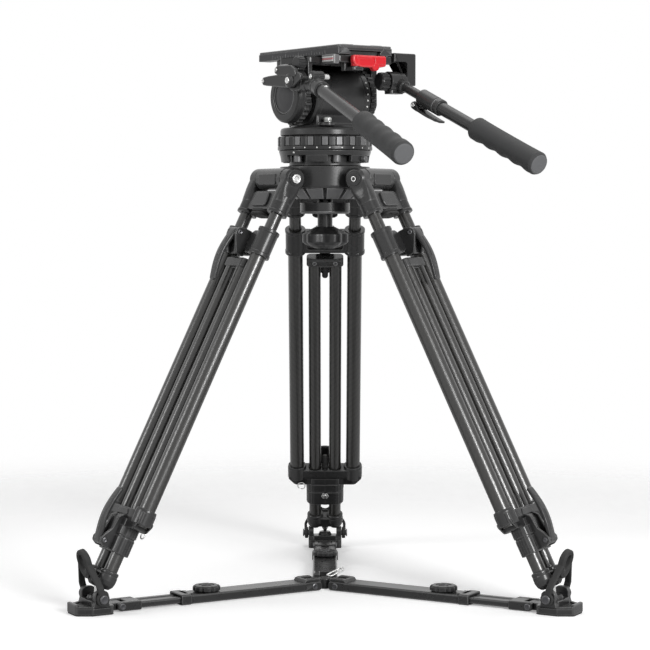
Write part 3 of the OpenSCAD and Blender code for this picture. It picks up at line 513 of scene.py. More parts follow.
def wear_and_highlight_group():
    """Rubbing and painted highlight on the edges: the piece's own edge value, broken up by noise, between 0
    and 1.
    """
    tree, src, out = group("edge rubbing and painted highlight", {"Vector": None, "Edge": 0.0, "Amount": 0.5}, ["Wear"])
    broken = noise(tree, src.outputs["Vector"], 420.0, 3.0)
    strong = math_node(tree, "MULTIPLY", src.outputs["Edge"], src.outputs["Amount"])
    wear_and_highlight = math_node(tree, "MULTIPLY", strong, math_node(tree, "ADD", broken, 0.25), clamp=True)
    tree.links.new(wear_and_highlight, out.inputs["Wear"])
    return tree


def dust_group():
    """Dust that settles on faces that look up: the piece's own upward lean, cubed, times noise."""
    tree, src, out = group("settled dust", {"Vector": None, "Up": 0.0, "Amount": 0.1}, ["Dust"])
    up = math_node(tree, "POWER", src.outputs["Up"], 3.0)
    spots = noise(tree, src.outputs["Vector"], 160.0, 5.0, 0.7)
    dust = math_node(tree, "MULTIPLY", math_node(tree, "MULTIPLY", up, spots), src.outputs["Amount"],
                     clamp=True)
    tree.links.new(dust, out.inputs["Dust"])
    return tree


def weave_group():
    """Twill weave of carbon on a tube. From the tube's own coordinates the angle gives the column and the
    length the row; a cell is warp where column plus row, taken in fours, is under two. Warp is that mask,
    Height the crown of each cell and Thread the fine strands that run along it."""
    tree, src, out = group("carbon weave", {"Own": None, "Columns": 24.0, "Row": 2.2},
                           ["Warp", "Height", "Thread"])
    split = tree.nodes.new("ShaderNodeSeparateXYZ")
    tree.links.new(src.outputs["Own"], split.inputs[0])
    turn = math_node(tree, "ARCTAN2", split.outputs["Y"], split.outputs["X"])
    column = math_node(tree, "MULTIPLY", math_node(tree, "DIVIDE", turn, 2 * np.pi), src.outputs["Columns"])
    row = math_node(tree, "DIVIDE", split.outputs["Z"], src.outputs["Row"])
    step = math_node(tree, "ADD", math_node(tree, "FLOOR", column), math_node(tree, "FLOOR", row))
    phase = math_node(tree, "FLOORED_MODULO", step, 4.0)
    warp = math_node(tree, "LESS_THAN", phase, 1.5)
    in_column = math_node(tree, "SINE", math_node(tree, "MULTIPLY", math_node(tree, "FRACT", column), np.pi))
    in_row = math_node(tree, "SINE", math_node(tree, "MULTIPLY", math_node(tree, "FRACT", row), np.pi))
    flip = math_node(tree, "SUBTRACT", 1.0, warp)
    height = math_node(tree, "ADD", math_node(tree, "MULTIPLY", warp, in_column),
                       math_node(tree, "MULTIPLY", flip, in_row))
    strand_a = math_node(tree, "SINE", math_node(tree, "MULTIPLY", column, 50.0))
    strand_b = math_node(tree, "SINE", math_node(tree, "MULTIPLY", row, 50.0))
    thread = math_node(tree, "ADD", math_node(tree, "MULTIPLY", warp, strand_a),
                       math_node(tree, "MULTIPLY", flip, strand_b))
    for label, value in (("Warp", warp), ("Height", height), ("Thread", thread)):
        tree.links.new(value, out.inputs[label])
    return tree


def brush_group():
    """Fine lines of turned or brushed metal: noise stretched along the piece's own rings."""
    tree, src, out = group("turning lines", {"Own": None}, ["Lines"])
    split = tree.nodes.new("ShaderNodeSeparateXYZ")
    tree.links.new(src.outputs["Own"], split.inputs[0])
    radius = math_node(tree, "SQRT", math_node(tree, "ADD", math_node(tree, "POWER", split.outputs["X"], 2.0),
                                               math_node(tree, "POWER", split.outputs["Y"], 2.0)))
    where = tree.nodes.new("ShaderNodeCombineXYZ")
    tree.links.new(math_node(tree, "MULTIPLY", radius, 6.0), where.inputs["X"])
    tree.links.new(math_node(tree, "MULTIPLY", split.outputs["Z"], 6.0), where.inputs["Y"])
    tree.links.new(noise(tree, where.outputs[0], 1.0, 2.0), out.inputs["Lines"])
    return tree


GRAIN, WEAR_AND_HIGHLIGHT, DUST, WEAVE, BRUSH = grain_group(), wear_and_highlight_group(), dust_group(), weave_group(), brush_group()


class Finish:
    """A material with its Principled shader, the object coordinates, the own coordinates and the edge
    value."""

    def __init__(self, name, rough, metal=0.0):
        self.material = bpy.data.materials.new(name)
        self.material.use_nodes = True
        self.tree = self.material.node_tree
        self.shader = self.tree.nodes["Principled BSDF"]
        self.shader.inputs["Roughness"].default_value = rough
        self.shader.inputs["Metallic"].default_value = metal
        self.place = self.tree.nodes.new("ShaderNodeTexCoord").outputs["Object"]
        self.own = self.attribute("own").outputs["Vector"]
        self.edge = self.attribute("edge").outputs["Fac"]

    def attribute(self, name):
        node = self.tree.nodes.new("ShaderNodeAttribute")
        node.attribute_name = name
        return node

    def use(self, tree, **values):
        """Places a group and feeds its inputs with sockets or numbers."""
        node = self.tree.nodes.new("ShaderNodeGroup")
        node.node_tree = tree
        for label, value in values.items():
            if isinstance(value, (int, float)):
                node.inputs[label].default_value = value
            else:
                self.tree.links.new(value, node.inputs[label])
        return node.outputs

    def colour(self, socket):
        self.tree.links.new(socket, self.shader.inputs["Base Color"])

    def rough(self, socket, low, high):
        """Roughness between two values, by a factor."""
        node = self.tree.nodes.new("ShaderNodeMapRange")
        node.inputs["To Min"].default_value = low
        node.inputs["To Max"].default_value = high
        self.tree.links.new(socket, node.inputs["Value"])
        self.tree.links.new(node.outputs[0], self.shader.inputs["Roughness"])

    def relief(self, socket, depth, strength=1.0):
        """Bump from a height, depth in metres."""
        node = self.tree.nodes.new("ShaderNodeBump")
        node.inputs["Distance"].default_value = depth
        node.inputs["Strength"].default_value = strength
        self.tree.links.new(socket, node.inputs["Height"])
        self.tree.links.new(node.outputs[0], self.shader.inputs["Normal"])


DUST_COLOUR = (0.32, 0.31, 0.29)


def coated(name, dark, light, worn_and_lit, rough, scale=900.0, wear_and_highlight=0.6, dust=0.05, metal=0.0, depth=0.00004,
           gloss=0.34):
    """Painted, anodised or moulded finish: colour drifting between dark and light, lighter edges that are
    partly rubbed and partly painted highlight, settled dust and a fine grain."""
    f = Finish(name, rough[0], metal)
    f.shader.inputs["Specular IOR Level"].default_value = gloss
    grain = f.use(GRAIN, Vector=f.place, Scale=scale)
    colour = mixed(f.tree, grain["Tone"], dark, light)
    # Sharp outer edges turn to the lighter edge colour: partly rubbed paint, partly a painted highlight where
    # they catch the light.
    wear_and_highlight_mask = f.use(WEAR_AND_HIGHLIGHT, Vector=f.place, Edge=f.edge, Amount=wear_and_highlight)["Wear"]
    colour = mixed(f.tree, wear_and_highlight_mask, colour, worn_and_lit)
    lean = f.attribute("up").outputs["Fac"]
    dusty = f.use(DUST, Vector=f.place, Up=lean, Amount=dust)["Dust"]
    f.colour(mixed(f.tree, dusty, colour, DUST_COLOUR))
    f.rough(grain["Tone"], *rough)
    f.relief(grain["Fine"], depth, 0.5)
    return f.material


def carbon_finish(name, columns, row, dark, light):
    """Lacquered carbon: a faint twill weave on the tube's own coordinates under a satin coat."""
    f = Finish(name, 0.4)
    weave = f.use(WEAVE, Own=f.own, Columns=columns, Row=row)
    grain = f.use(GRAIN, Vector=f.place, Scale=500.0)
    colour = mixed(f.tree, weave["Warp"], dark, light)
    f.colour(mixed(f.tree, math_node(f.tree, "MULTIPLY", grain["Tone"], 0.45), colour, dark))
    f.rough(weave["Warp"], 0.36, 0.28)
    height = math_node(f.tree, "ADD", weave["Height"], math_node(f.tree, "MULTIPLY", weave["Thread"], 0.12))
    f.relief(height, 0.00008, 0.22)
    f.shader.inputs["Specular IOR Level"].default_value = 0.55
    f.shader.inputs["Coat Weight"].default_value = 0.4
    f.shader.inputs["Coat Roughness"].default_value = 0.2
    return f.material


def metal_finish(name, dark, light, rough, wear_and_highlight=0.3):
    """Bare or blackened steel: turning lines in colour, roughness and relief."""
    f = Finish(name, rough[0], 1.0)
    lines = f.use(BRUSH, Own=f.own)["Lines"]
    # Sharp outer edges go nearly white: partly bright rubbed steel, partly a painted highlight.
    worn_and_lit = f.use(WEAR_AND_HIGHLIGHT, Vector=f.place, Edge=f.edge, Amount=wear_and_highlight)["Wear"]
    f.colour(mixed(f.tree, worn_and_lit, mixed(f.tree, lines, dark, light), (0.85, 0.85, 0.84)))
    f.rough(lines, *rough)
    f.relief(lines, 0.00003, 0.5)
    return f.material


def vial_finish():
    """Level vial: pale fluid under clear plastic, its tone drifting from place to place."""
    f = Finish("level vial fluid", 0.08)
    grain = f.use(GRAIN, Vector=f.place, Scale=200.0)
    f.colour(mixed(f.tree, grain["Tone"], (0.34, 0.35, 0.34), (0.46, 0.47, 0.45)))
    f.rough(grain["Fine"], 0.05, 0.1)
    f.shader.inputs["Coat Weight"].default_value = 0.8
    return f.material


FINISHES = {
    "casting": (coated("satin black casting", (0.013, 0.013, 0.0132), (0.024, 0.024, 0.0244),
                       (0.12, 0.12, 0.12), (0.22, 0.34)), "casting"),
    "plate": (coated("dark grey anodised plate", (0.022, 0.022, 0.024), (0.036, 0.036, 0.038),
                     (0.2, 0.2, 0.2), (0.36, 0.46), 1400.0, 0.8, metal=0.2), "plate"),
    "knob": (coated("moulded black knob", (0.009, 0.009, 0.0094), (0.017, 0.017, 0.0176), (0.08, 0.08, 0.08),
                    (0.26, 0.38), 1300.0, 0.45), "knob"),
    "rubber": (coated("black rubber", (0.011, 0.011, 0.011), (0.019, 0.019, 0.019), (0.04, 0.04, 0.04),
                      (0.62, 0.78), 1500.0, 0.3, 0.1, depth=0.00008), "rubber"),
    "grip": (coated("foam rubber grip", (0.028, 0.0285, 0.029), (0.04, 0.0405, 0.041), (0.075, 0.075, 0.078),
                    (0.66, 0.8), 1900.0, 0.35, 0.08, depth=0.0001), "rubber"),
    "cap": (coated("grip end cap", (0.085, 0.086, 0.09), (0.11, 0.112, 0.115), (0.16, 0.16, 0.16),
                   (0.6, 0.72), 1500.0, 0.3), "rubber"),
    "red": (coated("red anodised lever", (0.52, 0.006, 0.014), (0.66, 0.012, 0.022), (0.85, 0.2, 0.2),
                   (0.24, 0.34), 900.0, 0.35, 0.0), "red"),
    "white": (coated("white marks", (0.62, 0.62, 0.6), (0.74, 0.74, 0.72), (0.8, 0.8, 0.8), (0.5, 0.6)),
              "plate"),
    # Grey of the rail block, also used as a painted highlight on the crown ribs, the tie-down cup's rim and
    # the drag ring's notches.
    "rail": (coated("grey rail block and painted highlights", (0.10, 0.10, 0.102), (0.135, 0.135, 0.137), (0.28, 0.28, 0.28),
                    (0.34, 0.44), 1200.0, 0.6, metal=0.3), "plate"),
    "pink": (coated("pale red strip", (0.55, 0.2, 0.22), (0.62, 0.26, 0.27), (0.7, 0.4, 0.4), (0.4, 0.5)),
             "red"),
    "carbon": (carbon_finish("carbon tube", 24.0, 2.2, (0.010, 0.0096, 0.0088), (0.017, 0.0162, 0.0146)),
               "carbon"),
    "steel": (metal_finish("bright steel", (0.5, 0.5, 0.5), (0.72, 0.72, 0.71), (0.22, 0.34)), "steel"),
    "blued": (metal_finish("blackened steel", (0.05, 0.05, 0.054), (0.1, 0.1, 0.105), (0.3, 0.42)), "steel"),
    "vial": (vial_finish(), "plate"),
}


SHARP_ANGLE = np.radians(38)
EDGE_ANGLE = 0.5


def edge_values(mesh):
    """Point value edge: 1 on sharp outer edges, 0 on flats and in hollows. For each edge between two faces
    it is the turn between them over EDGE_ANGLE, if the second face's centre lies behind the first; a point
    takes the largest of its edges."""
    count = len(mesh.polygons)
    normal, centre = np.empty((count, 3), np.float32), np.empty((count, 3), np.float32)
    mesh.polygons.foreach_get("normal", normal.ravel())
    mesh.polygons.foreach_get("center", centre.ravel())
    total = np.empty(count, np.int32)
    mesh.polygons.foreach_get("loop_total", total)
    owner = np.repeat(np.arange(count), total)
    edge_of = np.empty(len(mesh.loops), np.int32)
    mesh.loops.foreach_get("edge_index", edge_of)
    order = np.argsort(edge_of, kind="stable")
    same = edge_of[order[1:]] == edge_of[order[:-1]]
    a, b = owner[order[:-1][same]], owner[order[1:][same]]
    turn = np.arccos(np.clip((normal[a] * normal[b]).sum(1), -1, 1))
    behind = ((centre[b] - centre[a]) * normal[a]).sum(1) < 0
    ends = np.empty((len(mesh.edges), 2), np.int32)
    mesh.edges.foreach_get("vertices", ends.ravel())
    value = np.where(behind, np.clip(turn / EDGE_ANGLE, 0, 1), 0).astype(np.float32)
    points = np.zeros(len(mesh.vertices), np.float32)
    hit = ends[edge_of[order[:-1][same]]]
    np.maximum.at(points, hit[:, 0], value)
    np.maximum.at(points, hit[:, 1], value)
    return points


def piece(name, body, finish, shapes, *nodes):
    """One object of the tripod: its shapes joined in one mesh in metres, riding on a body, standing for CAD
    nodes."""
    starts = np.cumsum([0] + [len(s[0]) for s in shapes])
    points = np.concatenate([s[0] for s in shapes]) / 1000
    own = np.concatenate([s[1] for s in shapes])
    quads = np.concatenate([s[2] + start for s, start in zip(shapes, starts)])
    caps = [(cap + start).tolist() for s, start in zip(shapes, starts) for cap in s[3]]
    mesh = bpy.data.meshes.new(name)
    mesh.from_pydata(points.tolist(), [], quads.tolist() + caps)
    mesh.polygons.foreach_set("use_smooth", np.ones(len(mesh.polygons), bool))
    mesh.set_sharp_from_angle(angle=SHARP_ANGLE)
    mesh.attributes.new("own", "FLOAT_VECTOR", "POINT").data.foreach_set(
        "vector", own.astype(np.float32).ravel())
    mesh.attributes.new("edge", "FLOAT", "POINT").data.foreach_set("value", edge_values(mesh))
    normal = np.empty(3 * len(mesh.vertices), np.float32)
    mesh.vertex_normals.foreach_get("vector", normal)
    mesh.attributes.new("up", "FLOAT", "POINT").data.foreach_set("value", np.maximum(normal[2::3], 0))
    material, slot = FINISHES[finish]
    mesh.materials.append(material)
    obj = bpy.data.objects.new(name, mesh)
    bpy.context.scene.collection.objects.link(obj)
    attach(obj, body)
    if nodes:
        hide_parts(*nodes)


# Legs

def screw(r, depth, axis, at):
    """Round screw head with a hexagonal recess, standing depth proud along the axis from a point."""
    hexagon = 0.5 * r * circle(6)
    ring = divided(hexagon, 0.3 * r)
    rim = r * ring / np.linalg.norm(ring, axis=1, keepdims=True)
    low, high = sorted((0, depth))
    head = framed(rim, ring, low, high, 0.2 * r, smooth=True)
    near, far = sorted((0.1 * depth, 0.5 * depth))
    floor = rod(0.8 * r, near, far, 0.1, 24)
    return [lay(head, axis, at), lay(floor, axis, at)]


def lever_cheeks(outline, filler):
    """Two ears that hold a clamp lever between them, and the block behind the lever."""
    ears = pair(lay(prism(outline, LEVER_W / 2 + 0.6, 12.6, 1.0, 3), "y"))
    return ears + [lay(prism(filler, -LEVER_W / 2 - 1, LEVER_W / 2 + 1, 0.6, 1.5), "y")]


def yoke(name):
    """Top casting of a leg: hinge eyes, arms that swell into tube sleeves, and a web with a panel and a
    recess."""
    place = leg_frame(name)
    eye = lay(turned([(0, EYE_IN), (14, EYE_IN), (14, 47), (11.5, EYE_OUT), (0, EYE_OUT)], 1.2), "y")
    arm = loft([(-1, 0, 41.2, 12.2, 8.7, 5), (-14, 0, 41.2, 12.6, 8.8, 4.4), (-22, 0, 40.6, 12.8, 10.4, 3),
                (-34, 0, TUBE_Y, 12.6, 12.4, 2.1)], 20)
    sleeve = lay(turned([(0, -50), (13.2, -50), (13.2, -46.5), (12.4, -45.5), (12.4, -26), (0, -26)], 0.7),
                 "z", (0, TUBE_Y, 0))
    web = lay(prism([(-32, -45), (-20, -46), (20, -46), (32, -45), (32, -24), (24, -20), (-24, -20),
                     (-32, -24)], -5, 8, 1.2, 4), "x")
    panel = lay(prism([(-17, -42), (17, -42), (19, -36), (17, -23), (-17, -23), (-19, -36)],
                      7, 10.8, 1.6, 3), "x")
    recess = lay(framed(rect(-31, 31, -45.5, -20.5), rect(-25, 25, -40.5, -25.5), -8.5, -4.5, 0.9, 3), "x")
    rib = lay(block(-2, 2, -44, -22, -7.2, -4.5, 0.8), "x")
    shapes = pair(eye, arm, sleeve) + [web, panel, recess, rib]
    body = name + "_upper_leg"
    piece(name + "_yoke", body, "casting", placed(shapes, place), name + "_leg_yoke")
    screws = screw(3.1, -2.2, "x", (-4.6, 13.5, -33)) + screw(3.1, -2.2, "x", (-4.6, -13.5, -33))
    piece(name + "_yoke_screws", body, "blued", placed(screws, place))
    buffer = [prism(stadium(8.6, 8.5), -48.4, -45, 0.8, smooth=True),
              prism(stadium(7.6, 7.5), -49.4, -48.2, 0.3, smooth=True),
              prism(stadium(8.6, 8.5), -52.4, -49.2, 1.4, smooth=True)]
    piece(name + "_yoke_buffer", body, "rubber", placed([lay(s, "z", (1, 0, 0)) for s in buffer], place))


def tubes(name):
    """The six tubes of a leg: upper and outer pair side by side, inner pair close together."""
    place = leg_frame(name)
    upper = pair(lay(pipe(8, 6.5, 22 - BRACKET_W, -15.5), "z", (0, TUBE_Y, 0)))
    outer = pair(lay(pipe(10, 8.4, -BRACKET_W - 22, 18 - CLAMP_END), "z", (0, TUBE_Y, 0)))
    inner = pair(lay(pipe(8.5, 7, -BOOT_W - 14, -BRIDGE_W - 5), "z", (0, INNER_Y, 0)))
    piece(name + "_upper_carbon", name + "_upper_leg", "carbon", placed(upper, place), name + "_upper_tubes")
    piece(name + "_outer_carbon", name + "_middle_leg", "carbon", placed(outer, place), name + "_outer_tubes")
    piece(name + "_inner_carbon", name + "_lower_leg", "carbon", placed(inner, place), name + "_inner_tubes")


def upper_clamp():
    """Shapes of the clamp on the upper tubes: lipped sleeves, a dipped web with a recess, and the lever's
    ears."""
    top, end = -CLAMP_W, -CLAMP_END
    sleeve = turned([(8.4, end), (13.8, end), (13.8, end + 4), (13.1, end + 5), (13.1, top - 5),
                     (13.8, top - 4), (13.8, top), (8.4, top)], 0.7, ring=True)
    web = [(-31, end + 2), (-19, end + 2), (-13, end + 5), (13, end + 5), (19, end + 2), (31, end + 2),
           (31, top - 4), (20, top - 4), (13, top - 8), (-13, top - 8), (-20, top - 4), (-31, top - 4)]
    recess = framed(rect(-30, 30, end + 2.5, top - 4.5), rect(-24, 24, end + 8, top - 10), -7.4, -3, 0.9, 3)
    ribs = [lay(block(y - 1.4, y + 1.4, end + 4, top - 6, -6.4, -3, 0.7), "x") for y in (-9, 9)]
    ear = [(6, -112), (17, -112), (20.5, -106), (28.6, -91), (29, -84), (25.5, -80), (19, -78), (6, -78)]
    filler = [(4, -111.5), (14, -111.5), (16, -104), (15.4, -79), (4, -79)]
    return (pair(lay(sleeve, "z", (0, TUBE_Y, 0))) + [lay(prism(web, -4, 9, 1.2, 4), "x"), lay(recess, "x")]
            + ribs + lever_cheeks(ear, filler))


def lower_clamp():
    """Shapes of the bracket across the outer tubes and of the collar round the inner tubes."""
    low, top, mid = -COLLAR_W, -BRACKET_W - 4, -COLLAR_END + 24.5
    sleeve = turned([(8.6, low + 8), (13.2, low + 8), (13.2, -BRACKET_W - 3), (12.6, -BRACKET_W),
                     (8.6, -BRACKET_W)], 0.8, ring=True)
    half = bored([(-10.5, 0), (10.5, 0), (10.5, TUBE_Y + 12.2), (-10.5, TUBE_Y + 12.2)], (0, INNER_Y), 8.85,
                 low + 9, top, 1.0, [0.1, 0.1, 4, 4])
    skirt = [(-52.2, low + 10), (-43, low), (43, low), (52.2, low + 10), (52.2, low + 14), (-52.2, low + 14)]
    faces = [lay(prism(skirt, x, x + 1.6, 0.6, 7), "x") for x in (-10.5, 8.9)]
    ends = block(-10.5, 10.5, 24, 42, low + 0.6, low + 12, 1.2, 2)
    round_half = [0.1, 0.1, 12.4, 12.4]
    collar = [bored(rect(-x, x, 0, INNER_Y + x), (0, INNER_Y), 8.85, z0, z1, edge, round_half)
              for x, z0, z1, edge in ((12.5, -COLLAR_END, mid - 3, 1.2), (11.7, mid - 4, mid, 0.2),
                                      (12.9, mid - 1.2, low + 1, 1.0), (11.6, low - 1, low + 10, 0.4))]
    ear = [(8, -512.5), (22, -512.5), (28, -509), (29, -504), (26.5, -498), (20, -488), (18.2, -471),
           (13, -466), (8, -466)]
    filler = [(9, -512), (15, -512), (15.6, -500), (15.6, -474), (12, -467), (9, -467)]
    ridge = lay(prism([(-16, low + 14), (16, low + 14), (12, top - 2), (-12, top - 2)], 10, 11.6, 0.8, 2),
                "x")
    return (pair(lay(sleeve, "z", (0, TUBE_Y, 0)), half, ends, *collar)
            + faces + [ridge] + lever_cheeks(ear, filler))


def clamps(name):
    """Both clamps of a leg with their pins, nut, bumper and wire ring."""
    place, body = leg_frame(name), name + "_middle_leg"
    piece(name + "_clamps", body, "casting", placed(upper_clamp() + lower_clamp(), place),
          name + "_leg_clamps")
    nut = lay(prism(5.4 * circle(6), -15.4, -12, 0.6, 0.4), "x", (0, 0, -COLLAR_END + 17))
    bolt = lay(rod(2.6, -16.6, -15, 0.6, 24), "x", (0, 0, -COLLAR_END + 17))
    ring = np.c_[np.zeros(40), 5.2 * circle(40)] + [-11.5, TUBE_Y - 6, -COLLAR_W - 1]
    pins = []
    for z in (UPPER_PIVOT, LOWER_PIVOT):
        pins += pair(lay(turned([(0, 12.2), (3.3, 12.2), (3.3, 13.4), (2.2, 13.9), (0, 13.4)], 0.3, 32), "y",
                         (LEVER_X, 0, z)))
    piece(name + "_clamp_steel", body, "steel", placed([nut, bolt, wire(ring, 0.8, (1, 0, 0), True)], place))
    piece(name + "_clamp_pins", body, "blued", placed(pins, place))
    bumper = turned([(0, -BRACKET_W - 5), (4.8, -BRACKET_W - 5), (4.8, -BRACKET_W - 1), (4, 0.5 - BRACKET_W),
                     (4, 12 - BRACKET_W), (3, 16 - BRACKET_W), (0, 16 - BRACKET_W)], 1.0, 32)
    piece(name + "_clamp_bumper", body, "rubber", placed([bumper], place))


def clamp_lever(name, which, pivot, way):
    """Bowed clamp lever. With t from pivot to tip its middle line is x = 5 sin(pi t) + 3.2, z = 0.5 - 66 t,
    its half width narrows from 7.7 to 6.6 and it thins towards the tip."""
    place = within(leg_frame(name), (np.diag([1.0, 1.0, way]), np.array([LEVER_X, 0, pivot])))
    t = np.linspace(0, 1, 28)
    path = np.stack([5 * np.sin(np.pi * t) + 3.2, np.zeros(28), -LEVER_L * t + 0.5], 1)
    blade = strip(path, LEVER_W / 2 - 1.1 * t ** 3, 2.9 - 0.7 * t, (0, 1, 0), 5, 32)
    hub = lay(rod(6, -LEVER_W / 2, LEVER_W / 2, 1.0), "y")
    ribs = [strip(np.array([[path[i, 0] + 2.1, y, path[i, 2]] for y in np.linspace(-4.2, 4.2, 9)]), 0.7, 0.8,
                  (0, 0, 1), 2, 12) for i in (19, 21, 23)]
    spine = strip(path[4:16] + [2.3, 0, 0], 2.6, 1.0, (0, 1, 0), 3, 16)
    shapes = placed([blade, hub, spine] + ribs, place)
    if way < 0:
        shapes = [turned_out(s) for s in shapes]
    lever = name + "_" + which + "_lever"
    piece(name + "_" + which + "_blade", lever, "knob", shapes, lever)


def foot(name):
    """Bridge at the top of the inner tubes, and the twin boots with their web, hook and spike."""
    place, body = leg_frame(name), name + "_lower_leg"
    z = -BRIDGE_W
    bridge = [block(-9.5, 9.5, -25, 25, z - 12, z, 1.6, 6), block(-6, 6, -8, 8, z - 14, z - 11, 0.8, 2),
              lay(framed(rect(-22, 22, z - 10.5, z - 1.5), rect(-19, 19, z - 8.5, z - 3.5),
                         -10.4, -9, 0.5, 2), "x")]
    boot = turned([(0, -560), (6.5, -559), (10.4, -554.5), (BOOT_R, -549), (BOOT_R, -543), (11.2, -541.5),
                   (11.6, -540), (11.6, -537.6), (10.4, -536.4), (0, -536.4)], 1.4)
    web = [block(-9, 9, -INNER_Y, INNER_Y, -556, -540, 2.4, 3), lay(rod(7.4, -558, -552, 1.2), "z")]
    hook = lay(prism([(7, -549), (10.6, -549), (15.2, -543.6), (15.2, -540.4), (13, -540.4), (11.8, -543),
                      (7, -542)], -5, 5, 1.2, 1.2), "y")
    shapes = bridge + pair(lay(boot, "z", (0, INNER_Y, 0))) + web + [hook]
    piece(name + "_boots", body, "casting", placed(shapes, place), name + "_leg_foot")
    spike = turned([(0, -570.3), (0.9, -570.3), (4.8, -561), (4.8, -554), (0, -554)], 0.4, 40)
    piece(name + "_foot_steel", body, "steel", placed([spike], place))
    screws = screw(3.2, -1.6, "x", (-9.2, -INNER_Y, z - 6)) + screw(3.2, -1.6, "x", (-9.2, INNER_Y, z - 6))
    piece(name + "_bridge_screws", body, "blued", placed(screws, place))
    bumper = turned([(0, z - 32), (3.2, z - 32), (4.2, z - 30), (4.2, z - 15), (5, z - 14), (5, z - 11),
                     (0, z - 11)], 0.9, 32)
    piece(name + "_foot_bumper", body, "rubber", placed([bumper], place))


# Ground spreader

BAR_Y = ARM_W2 - 1.9
BAR_LOW, BAR_TOP = ARM_Z0 + 1.7, ARM_Z1 - 1.7


def foot_plate(name):
    """Foot plate with ears, cup, lip and clevis, the pins through it, and the spreader's outer bar."""
    place, body, x = arm_frame(name), name + "_foot_plate", FOOT_R
    wedge = [(x - 17, -PLATE_Y), (x + 12, -PLATE_Y), (x + PLATE_OUT, -PLATE_TIP), (x + PLATE_OUT, PLATE_TIP),
             (x + 12, PLATE_Y), (x - 17, PLATE_Y)]
    inner = [(x - 12, 4 - PLATE_Y), (x + 10, 4 - PLATE_Y), (x + 25, 4 - PLATE_TIP), (x + 25, PLATE_TIP - 4),
             (x + 10, PLATE_Y - 4), (x - 12, PLATE_Y - 4)]
    base = [prism(wedge, 1.2, PLATE_T - 1.5, 1.2, 5),
            framed(wedge, inner, PLATE_T - 3, PLATE_T + 0.4, 1.0, 4)]
    ear = [(x - 12, 8), (x + 12, 8), (x + 9.5, 16), (x + 9.5, FOOT_Z + 9.5), (x - 9.5, FOOT_Z + 9.5),
           (x - 9.5, 16)]
    ears = pair(lay(prism(ear, PLATE_Y - 7.5, PLATE_Y, 1.0, [1, 1, 6, 9.4, 9.4, 6]), "y"))
    saddle = bored(rect(x - 11, x + 11, -17, 17), (x, 0), 9.6, PLATE_T - 2, FOOT_Z - 3, 1.0, 2)
    cup = turned([(0, FOOT_Z + 0.1), (2.2, FOOT_Z + 0.1), (5, FOOT_Z + 2.1), (7.4, FOOT_Z + 2.1),
                  (9.2, FOOT_Z - 1), (9.2, PLATE_T - 2), (0, PLATE_T - 2)], 0.5, 48)
    lip = block(x + PLATE_OUT - 5, x + PLATE_OUT + 0.6, -PLATE_TIP, PLATE_TIP, 1.4, PLATE_T + 3, 1.6, 2)
    treads = [block(x + 13, x + 23, y - 1.1, y + 1.1, PLATE_T - 3, PLATE_T - 0.6, 0.6)
              for y in (-8, -4, 0, 4, 8)]
    tongue = [(ARM_PIN_R - 5.4, ARM_MID - 5), (x - 14, 2), (x - 14, PLATE_T - 1),
              (ARM_PIN_R - 5.4, ARM_MID + 5)]
    clevis = lay(prism(tongue, -9, 9, 0.8, [5, 1, 1, 5]), "y")
    shapes = base + ears + [saddle, lay(cup, "z", (x, 0, 0)), lip, clevis] + treads
    piece(name + "_plate", body, "casting", placed(shapes, place), name + "_foot_plate")
    sole = prism(wedge, 0, 1.6, 0.5, 5)
    piece(name + "_plate_sole", body, "rubber", placed([sole], place))
    pin = turned([(0, 20), (4, 20), (4, 30.2), (5.6, 30.4), (5.6, 31.6), (4.4, 32.4), (0, 32)], 0.4, 40)
    arm_pin = turned([(0, 8), (2.5, 8), (2.5, 15), (4.2, 15.2), (4.2, 16.9), (3.2, 17.5), (0, 17.1)], 0.3, 32)
    pins = pair(lay(pin, "y", (x, 0, FOOT_Z)), lay(arm_pin, "y", (ARM_PIN_R, 0, ARM_MID)))
    piece(name + "_plate_pins", body, "blued", placed(pins, place))
    start, end = MOUTH_R - BAR_IN, ARM_PIN_R - 20
    outline = [(-BAR_Y, BAR_LOW), (BAR_Y, BAR_LOW), (BAR_Y, BAR_TOP), (6, BAR_TOP), (4.6, BAR_TOP - 0.9),
               (-4.6, BAR_TOP - 0.9), (-6, BAR_TOP), (-BAR_Y, BAR_TOP)]
    bar = lay(prism(outline, start, end, 0.6, [2, 2, 2, 0.3, 0.3, 0.3, 0.3, 2]), "x")
    fork = [(ARM_PIN_R - 26, ARM_Z0), (ARM_PIN_R + 5.6, ARM_Z0), (ARM_PIN_R + 5.6, ARM_Z1),
            (ARM_PIN_R - 26, ARM_Z1)]
    cheeks = pair(lay(prism(fork, 9.5, ARM_W2 - 0.4, 1.0, [2, 5.4, 5.4, 2]), "y"))
    block_end = block(ARM_PIN_R - 26, ARM_PIN_R - 8, -10.5, 10.5, ARM_Z0 + 0.3, ARM_Z1 - 0.3, 1.0, 1.5)
    piece(name + "_outer_bar", body, "casting", placed([bar, block_end] + cheeks, place))


def strap(name):
    """Rubber strap: two arms that lean in from eyes on the plate's pin to a finger loop."""
    place = within(arm_frame(name), (about_y(STRAP_LEAN), np.array([FOOT_R, 0, FOOT_Z])))
    low, high = PLATE_Y + 0.5, PLATE_Y + 0.5 + STRAP_T
    eye = lay(pipe(8.2, 4.15, low, high, 1.2), "y")
    run = fillet([(28.2, 5), (28.2, 14), (11.6, STRAP_H - 18), (11.6, STRAP_H - 12)], [0.1, 8, 8, 0.1],
                 closed=False, steps=8)
    arm = strip(np.c_[np.zeros(len(run)), run], 4.2, 2.0, (1, 0, 0), 3.4, 24, ends=False)
    outer, inner = stadium(14, 4.5) + [0, STRAP_H - 18.5], stadium(8, 1.75) + [0, STRAP_H - 15.75]
    loop = lay(framed(outer, inner, -4, 4, 1.8, smooth=True), "x")
    bead = framed(stadium(12, 3.6) + [0, STRAP_H - 17.6], stadium(9.8, 2.4) + [0, STRAP_H - 16.4],
                  -4.6, 4.6, 0.8, smooth=True)
    piece(name + "_strap_rubber", name + "_strap", "rubber",
          placed(pair(eye, arm) + [loop, lay(bead, "x")], place), name + "_strap")


